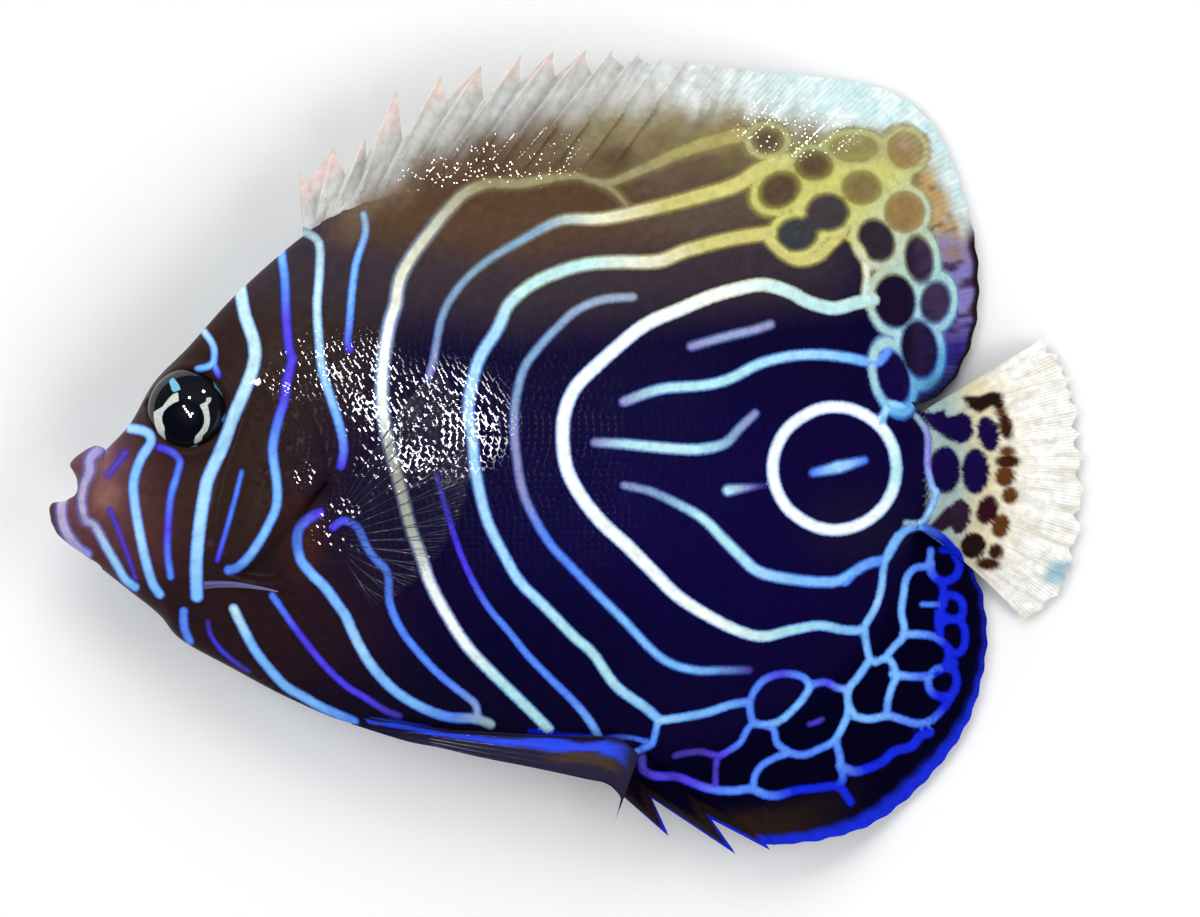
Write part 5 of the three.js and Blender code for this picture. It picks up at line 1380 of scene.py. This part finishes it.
# eyes; a surface is its roughness, coat and coat roughness
eyeSet = {
    "centre": (-38.9, 4.2), "radius": 4.42, "depth": 2.72, "sink": 1.6, "tilt": 0.14, "rings": 90, "sides": 140,
    "pupil": (-39.52, 3.23), "pupilRadius": 2.18, "lensBulge": (0.16, 2.3, 4),
    "iris": (17, 18, 25), "lens": (3, 3, 16), "bone": (206, 212, 205), "blue": (120, 190, 222),
    "edgeSoft": 0.05, "lensSoft": 0.12, "speckleScale": 5200, "speckleFrom": (0.3, 0.7), "speckle": (0.72, 1.1),
    "surface": (0.4, 1.0, 0.015), "specular": 0.02,
    "boneMarks": [
        [
            (-40.06, 6.07), (-40.57, 5.92), (-41.08, 5.41), (-41.66, 4.61), (-42.61, 4.07), (-42.61, 3.45),
            (-42.43, 2.5), (-42.1, 1.7), (-41.88, 1.12), (-41.44, 0.87), (-41.34, 1.19), (-41.5, 1.78),
            (-41.46, 2.43), (-41.72, 3.08), (-41.72, 3.59), (-41.55, 4.1), (-41.15, 4.54), (-40.57, 4.94),
            (-39.99, 5.19),
        ],
        [
            (-37.16, 5.52), (-36.65, 5.56), (-36.72, 5.12), (-37.01, 4.83), (-36.86, 3.96), (-36.79, 3.3),
            (-36.86, 2.65), (-37.08, 2.07), (-37.52, 1.63), (-37.7, 1.12), (-38.25, 0.79), (-38.46, 0.83),
            (-38.28, 1.56), (-37.81, 2.07), (-37.52, 2.5), (-37.34, 3.08), (-37.37, 3.67), (-37.52, 4.17),
            (-37.77, 4.61), (-37.81, 4.76), (-37.19, 5.12),
        ],
    ],
    "blueMarks": [
        [
            (-41.04, 7.23), (-40.72, 7.56), (-40.57, 7.56), (-40.06, 6.94), (-39.81, 6.36), (-40.5, 6.1),
            (-40.72, 6.28),
        ],
        [
            (-36.79, 7.81), (-36.54, 7.74), (-36.14, 7.01), (-35.63, 6.43), (-35.19, 5.85), (-34.9, 4.97),
            (-35.08, 4.83), (-35.37, 5.48), (-35.85, 6.07), (-36.36, 6.65), (-36.54, 7.23),
        ],
        [(-35.23, 4.03), (-34.83, 4.1), (-34.97, 3.38), (-35.34, 2.94), (-35.63, 3.16)],
        [(-39.12, 0.31), (-38.17, 0.72), (-38.1, 0.58), (-38.54, 0.18), (-39.01, -0.01)],
    ],
}
eyeMaterial, tree, shader = newMaterial("wetEye", *eyeSet["surface"], specular=eyeSet["specular"])
colour = paint(eyeSet["iris"])
for mark, soft in (("lens", eyeSet["lensSoft"]), ("bone", eyeSet["edgeSoft"]), ("blue", eyeSet["edgeSoft"])):
    inMark = ranged(tree, attribute(tree, mark + "Gap"), -soft, soft, 1, 0)
    colour = mixColour(tree, inMark, colour, paint(eyeSet[mark]))
speckle = noise(tree, eyeSet["speckleScale"], 3)
speckle = ranged(tree, speckle, *eyeSet["speckleFrom"], *eyeSet["speckle"], "LINEAR")
feed(tree, shader.inputs["Base Color"], shaded(tree, colour, speckle))

def makeEye(name, side):
    rings, sides, r, d = [eyeSet[key] for key in ("rings", "sides", "radius", "depth")]
    polar = np.linspace(0, math.pi, rings + 1)[1:-1, None]
    turn = np.linspace(0, 2 * math.pi, sides, endpoint=False)[None, :]
    ball = [r * np.sin(polar) * np.cos(turn), r * np.sin(polar) * np.sin(turn), d * np.cos(polar) + 0 * turn]
    points = np.concatenate([np.stack(ball, -1).reshape(-1, 3), [[0, 0, d], [0, 0, -d]]])
    middle, pupil = np.array(eyeSet["centre"]), np.array(eyeSet["pupil"])
    toPupil = np.linalg.norm(points[:, :2] + middle - pupil, axis=1)
    points[:, 2] += bulge(toPupil, *eyeSet["lensBulge"]) * (points[:, 2] * side > 0) * side
    c, s = math.cos(-side * eyeSet["tilt"]), math.sin(-side * eyeSet["tilt"])
    x, y, z = points.T
    height = middleAt(middle[0]) + side * (nearby([middle], plainHalf)[0] - eyeSet["sink"])
    turned = np.column_stack([x, y * c - z * s, y * s + z * c]) + np.array([*middle, height])
    k = np.arange(sides)
    follow = (k + 1) % sides
    faces = []
    for i in range(rings - 2):
        a, b = i * sides, (i + 1) * sides
        faces += np.stack([a + k, b + k, b + follow, a + follow], -1).tolist()
    top, low, start = len(points) - 2, len(points) - 1, (rings - 2) * sides
    faces += [(top, int(a), int(b)) for a, b in zip(k, follow)]
    faces += [(low, int(b) + start, int(a) + start) for a, b in zip(k, follow)]
    seen = turned[:, :2]
    boneGap, blueGap = [
        np.min([areaGap(seen, mark) for mark in eyeSet[key]], axis=0) for key in ("boneMarks", "blueMarks")]
    lensGap = np.linalg.norm(seen - pupil, axis=1) - eyeSet["pupilRadius"]
    return makePiece(name, turned, faces, eyeMaterial, boneGap=boneGap, blueGap=blueGap, lensGap=lensGap)

eyes = [makeEye("eyeLeft", 1), makeEye("eyeRight", -1)]
print("eyes made")

# cheek spines, one on each gill cover, as one piece
spineSet = {
    "root": (-37.4, -13.7), "tipAway": (7.6, -0.7), "bendAway": (3, 0.3, 0.55), "sunk": 0.35, "tipClear": 1.0,
    "radius": 0.52, "taper": 0.85, "steps": 40, "sides": 20, "surface": (0.22, 0.6, 0.08),
    "colour": (72, 70, 124), "tip": (104, 106, 146),
}
spineMaterial, tree, shader = newMaterial("wetSpine", *spineSet["surface"])
colour = mixColour(tree, attribute(tree, "out"), paint(spineSet["colour"]), paint(spineSet["tip"]))
feed(tree, shader.inputs["Base Color"], colour)

def cheekSpine(side):
    root = np.array(spineSet["root"])
    tip = root + np.array(spineSet["tipAway"])
    rootHigh = nearby([root], plainHalf)[0] - spineSet["sunk"]
    tipHigh = nearby([tip], plainHalf)[0] + spineSet["tipClear"]
    t = np.linspace(0, 1, spineSet["steps"])[:, None]
    a = np.array([*root, rootHigh])
    b, c = a + np.array(spineSet["bendAway"]), np.array([*tip, tipHigh])
    line = (1 - t) ** 2 * a + 2 * t * (1 - t) * b + t**2 * c
    line[:, 2] = body["midHeight"] + side * line[:, 2]
    out = [*np.repeat(t[:, 0], spineSet["sides"]), 0, 1]
    return tube(line, spineSet["radius"] * (1 - spineSet["taper"] * t[:, 0]), spineSet["sides"]), out

(leftSpine, leftOut), (rightSpine, rightOut) = cheekSpine(1), cheekSpine(-1)
vertices, faces = joined([leftSpine, rightSpine])
cheekSpines = makePiece("cheekSpines", vertices, faces, spineMaterial, out=leftOut + rightOut)
print("cheek spines made")

# breast fins, a clear skin over fine branching rays
breastSet = {
    "rays": 15, "perRay": 10, "rows": 44, "thin": 0.05, "bow": (0.12, -0.2), "scallop": 0.2,
    "root": ((-23.2, -5.4), (-22.8, -11.2)), "clear": (-0.2, 0.62), "rise": 0.4, "lowest": 0.25,
    "rim": [(-14.8, 7.2), (-12.6, 8.2), (-10.7, 4.3), (-9.9, -2.4), (-11.4, -8.0), (-15.1, -13.0), (-20.1, -16.3)],
    "rayRadius": 0.06, "raySides": 6, "raySteps": 14, "rayTaper": (1.25, 0.4), "fork": 0.0155,
    # each stretch of a ray: from, to, and its branches as turns at the first and second fork
    "stretches": [
        (0.0, 0.3, [(0, 0)]), (0.28, 0.52, [(-1, 0), (1, 0)]), (0.5, 0.985, [(-1, -1), (-1, 1), (1, -1), (1, 1)]),
    ],
    "skinSurface": (0.2, 0.0, 0.05), "skinAlpha": 0.035, "skinColour": (60, 60, 80), "skinSpecular": 0.1,
    "skinBump": (0.3, 0.00004), "skinBumpScale": 2600,
    "raySurface": (0.1, 1.0, 0.04), "rayAlpha": 0.46, "rayColour": (48, 44, 70),
    "rayBump": (1.0, 0.0001), "rayBumpScale": 3000,
}
clearSkin, tree, shader = newMaterial(
    "clearSkin", *breastSet["skinSurface"], alpha=breastSet["skinAlpha"], specular=breastSet["skinSpecular"],
    colour=paint(breastSet["skinColour"]))
addBump(tree, shader, noise(tree, breastSet["skinBumpScale"]), *breastSet["skinBump"])
clearRay, tree, shader = newMaterial(
    "clearRay", *breastSet["raySurface"], alpha=breastSet["rayAlpha"], colour=paint(breastSet["rayColour"]))
addBump(tree, shader, noise(tree, breastSet["rayBumpScale"]), *breastSet["rayBump"])

def breastPoint(share, t):
    (ax, ay), (bx, by) = breastSet["root"]
    root = np.stack([mix(ax, bx, share), mix(ay, by, share)], -1)
    rim = evenSpline(breastSet["rim"], share)
    rim = scalloped(root, rim, rayCrest(share, breastSet["rays"]), breastSet["scallop"])
    bow = mix(*breastSet["bow"], share) * t * (1 - t)
    across = np.stack([root[..., 1] - rim[..., 1], rim[..., 0] - root[..., 0]], -1)
    return mix(root, rim, t[..., None]) + across * bow[..., None]

def breastHeight(points, side):
    x = points[..., 0]
    clear = mix(*breastSet["clear"], smooth(x, -23.4, -20.6)) + breastSet["rise"] * smooth(x, -20, -10)
    height = nearby(points, leftHeight if side > 0 else rightHeight) + side * clear
    return height if side > 0 else np.maximum(height, breastSet["lowest"])

def makeRayTree():
    # sweeps a round section along the edges of the carrier
    tree, start = newTree("finRays", {"Sides": "Int"})
    lines = chain(tree, "GeometryNodeMeshToCurve", {"Mesh": start["Geometry"]})
    circle = chain(tree, "GeometryNodeCurvePrimitiveCircle", {"Radius": 1.0, "Resolution": start["Sides"]})
    sweep = {"Curve": lines, "Profile Curve": circle, "Fill Caps": True, "Scale": named(tree, "thickness")}
    return endTree(tree, chain(tree, "GeometryNodeCurveToMesh", sweep), start)

def makeRays(name, lines, radii):
    edges, start = [], 0
    for line in lines:
        edges += [(start + i, start + i + 1) for i in range(len(line) - 1)]
        start += len(line)
    carrierMesh = makeMesh(name + "Lines", np.concatenate(lines), [], edges)
    setValues(carrierMesh, "thickness", np.concatenate(radii) * mm)
    carrier = makeObject(name + "Lines", carrierMesh)
    mesh = runTree(name, carrier, rayTree, {"Sides": breastSet["raySides"], "Material": clearRay})
    smoothFaces(mesh, 4)
    return makeObject(name, mesh)

def makeBreastFin(word, side):
    t = np.linspace(0, 1, breastSet["rows"] + 1)[None, :]
    share = np.linspace(0, 1, breastSet["rays"] * breastSet["perRay"] + 1)[:, None]
    share, t = share + 0 * t, t + 0 * share
    points = breastPoint(share, t)
    height = breastHeight(points, side)
    faces = sheet(points, height + breastSet["thin"], height - breastSet["thin"])
    web = makePiece("breastSkin" + word, *faces, clearSkin)
    lines, radii = [], []
    for ray in range(breastSet["rays"]):
        for low, high, branches in breastSet["stretches"]:
            for first, second in branches:
                way = np.linspace(low, high, breastSet["raySteps"])
                spread = first * smooth(way, 0.25, 1.0) + 0.5 * second * smooth(way, 0.48, 1.0)
                line = breastPoint((ray + 0.5) / breastSet["rays"] + breastSet["fork"] * spread, way)
                lines.append(np.column_stack([line, breastHeight(line, side)]))
                radii.append(breastSet["rayRadius"] * mix(*breastSet["rayTaper"], way))
    return web, makeRays("breastRays" + word, lines, radii)

rayTree = makeRayTree()
breastFins = [makeBreastFin("Left", 1), makeBreastFin("Right", -1)]
print("breast fins made")

# belly fins, folded back along the belly
bellySet = {
    "columns": 150, "rows": 26, "rays": 6, "thin": 0.16, "ridge": 0.004, "clear": (-0.3, 0.75), "finHalf": 1.2,
    "hang": {"Left": 0.3, "Right": 2.2},
    "upper": [
        (-21.2, -27.4), (-18.4, -27.9), (-14.0, -28.5), (-11.6, -28.8), (-7.5, -29.0), (-3.0, -29.3), (3.2, -29.4),
        (5.6, -29.8), (7.4, -31.4),
    ],
    "lower": [
        (-22.4, -28.2), (-16.8, -29.9), (-13.3, -30.6), (-9.0, -31.6), (-4.4, -32.5), (-1.5, -33.1), (2.2, -33.9),
        (3.7, -34.2), (4.8, -34.9), (5.5, -36.1), (4.9, -38.2),
    ],
    "dark": (24, 18, 48), "blue": (34, 66, 222), "brown": (66, 48, 24),
    # across the fin: the middle of each stripe, and where it fades; along the fin: where it ends
    "blueStripe": (0.74, 0.08, 0.2), "blueEnd": (0.86, 0.98),
    "brownStripe": (0.45, 0.05, 0.22), "brownStart": (0.6, 0.76), "brownEnd": (0.84, 0.95), "brownMost": 0.8,
    "wander": 0.12, "wanderScale": 700, "wanderStretch": (0.3, 1, 1),
    "surface": (0.55, 0.04, 0.06), "specular": 0.06,
    "bump": (0.25, 0.00006), "bumpScale": 2500, "bumpStretch": (0.2, 1, 1),
}
bellyMaterial, tree, shader = newMaterial("wetBellyFin", *bellySet["surface"], specular=bellySet["specular"])
wander = noise(tree, bellySet["wanderScale"], 3, bellySet["wanderStretch"])
wander = ranged(tree, wander, 0.25, 0.75, -bellySet["wander"], bellySet["wander"], "LINEAR")
across, along = calc(tree, "ADD", attribute(tree, "finAcross"), wander), attribute(tree, "finAlong")

def stripe(middle, full, none):
    away = calc(tree, "ABSOLUTE", calc(tree, "SUBTRACT", across, middle))
    return ranged(tree, away, full, none, 1, 0)

blue = calc(tree, "MULTIPLY", stripe(*bellySet["blueStripe"]), ranged(tree, along, *bellySet["blueEnd"], 1, 0))
brown = ranged(tree, along, *bellySet["brownStart"], 0, bellySet["brownMost"])
brown = calc(tree, "MULTIPLY", stripe(*bellySet["brownStripe"]), brown)
brown = calc(tree, "MULTIPLY", brown, ranged(tree, along, *bellySet["brownEnd"], 1, 0))
colour = mixColour(tree, brown, paint(bellySet["dark"]), paint(bellySet["brown"]))
feed(tree, shader.inputs["Base Color"], mixColour(tree, blue, colour, paint(bellySet["blue"])))
addBump(tree, shader, noise(tree, bellySet["bumpScale"], 3, bellySet["bumpStretch"]), *bellySet["bump"])

def makeBellyFin(word, side):
    share = np.linspace(0, 1, bellySet["columns"] + 1)
    upper, lower = evenSpline(bellySet["upper"], share), evenSpline(bellySet["lower"], share)
    t = np.linspace(0, 1, bellySet["rows"] + 1)[None, :]
    points = mix(lower[:, None], upper[:, None], t[..., None])
    x = points[..., 0]
    hang = bellySet["hang"][word] * smooth(x, -22, 10) ** 1.5
    clear = mix(*bellySet["clear"], smooth(x, -22.4, -16)) + hang
    half = nearby(points, np.where(onBody, plainHalf, bellySet["finHalf"]))
    height = middleAt(x) + side * (half + clear)
    ridge = np.maximum(np.cos(2 * math.pi * t * bellySet["rays"]) * bellySet["ridge"], 0)
    thick = bellySet["thin"] + ridge * smooth(share, 0, 0.1)[:, None]
    finAcross, finAlong = [np.tile((value + 0 * x).ravel(), 2) for value in (t, share[:, None])]
    faces = sheet(points, height + thick, height - thick)
    return makePiece("bellyFin" + word, *faces, bellyMaterial, finAcross=finAcross, finAlong=finAlong)

bellyFins = [makeBellyFin("Left", 1), makeBellyFin("Right", -1)]
print("belly fins made")

# room: pale floor and soft lamps
room = {
    "floor": 4.0, "floorColour": (0.86, 0.87, 0.87), "world": (0.9, 0.95, 1.0), "worldStrength": 0.05,
    "lamps": {
        "left": ((-1.35, 0.35, 0.85), 1.3, 19), "back": ((-0.1, 1.35, 0.9), 1.3, 19),
        "right": ((1.35, -0.1, 0.85), 1.3, 16), "front": ((0.2, -1.35, 0.85), 1.3, 13),
    },
    # small lamps that are mirrored in the wet skin
    "gleams": {
        "gleam1": ((-0.02, 0.0, 1.0), 0.06, 1.5), "gleam2": ((-0.07, 0.07, 1.0), 0.06, 1.5),
        "gleam3": ((-0.13, 0.15, 1.0), 0.06, 1.5), "gleam4": ((-0.19, 0.24, 1.0), 0.06, 1.5),
        "gleam5": ((-0.25, 0.36, 1.0), 0.06, 1.5), "gleam6": ((0.05, 0.1, 1.0), 0.06, 1.5),
        "gleam7": ((0.55, 1.15, 1.0), 0.12, 6.0), "gleam8": ((-0.02, 0.92, 1.0), 0.1, 4.2),
    },
}
reach = room["floor"] / 2
corners = [(-reach, -reach, 0), (reach, -reach, 0), (reach, reach, 0), (-reach, reach, 0)]
floorMesh = makeMesh("floor", corners, [(0, 1, 2, 3)], scale=1)
floorMesh.materials.append(newMaterial("paleFloor", 0.7, colour=room["floorColour"])[0])
floor = makeObject("floor", floorMesh)

for name, (place, size, power) in {**room["lamps"], **room["gleams"]}.items():
    lamp = bpy.data.lights.new(name, "AREA")
    lamp.size, lamp.energy = size, power
    lampObject = makeObject(name, lamp)
    lampObject.location = place
    lampObject.rotation_euler = (-lampObject.location).to_track_quat("-Z", "Y").to_euler()
    lampObject.visible_glossy = name in room["gleams"]
    lampObject.visible_diffuse = name in room["lamps"]

world = bpy.data.worlds.new("softRoom")
bpy.context.scene.world = world
world.use_nodes = True
background = world.node_tree.nodes["Background"]
background.inputs["Color"].default_value = (*room["world"], 1)
background.inputs["Strength"].default_value = room["worldStrength"]
bpy.context.scene.view_settings.view_transform = "Standard"

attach(skin, "root")
for piece in scalePieces:
    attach(piece, "root")
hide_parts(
    "head", "upper_lip", "lower_jaw", "gill_cover_left", "gill_cover_right", "trunk", "tail_base",
    "dorsal_fin_spines", "dorsal_fin_rays", "anal_fin", "tail_fin",
)
for piece, slot, replaced in (
    (eyes[0], "eye", ("eye_left",)), (eyes[1], "eye", ("eye_right",)),
    (cheekSpines, "head_skin", ()),
    (breastFins[0][0], "clear_fin", ("breast_fin_left",)), (breastFins[0][1], "clear_fin", ()),
    (breastFins[1][0], "clear_fin", ("breast_fin_right",)), (breastFins[1][1], "clear_fin", ()),
    (bellyFins[0], "blue_fin", ("belly_fin_left",)), (bellyFins[1], "blue_fin", ("belly_fin_right",)),
):
    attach(piece, "root")
    if replaced:
        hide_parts(*replaced)
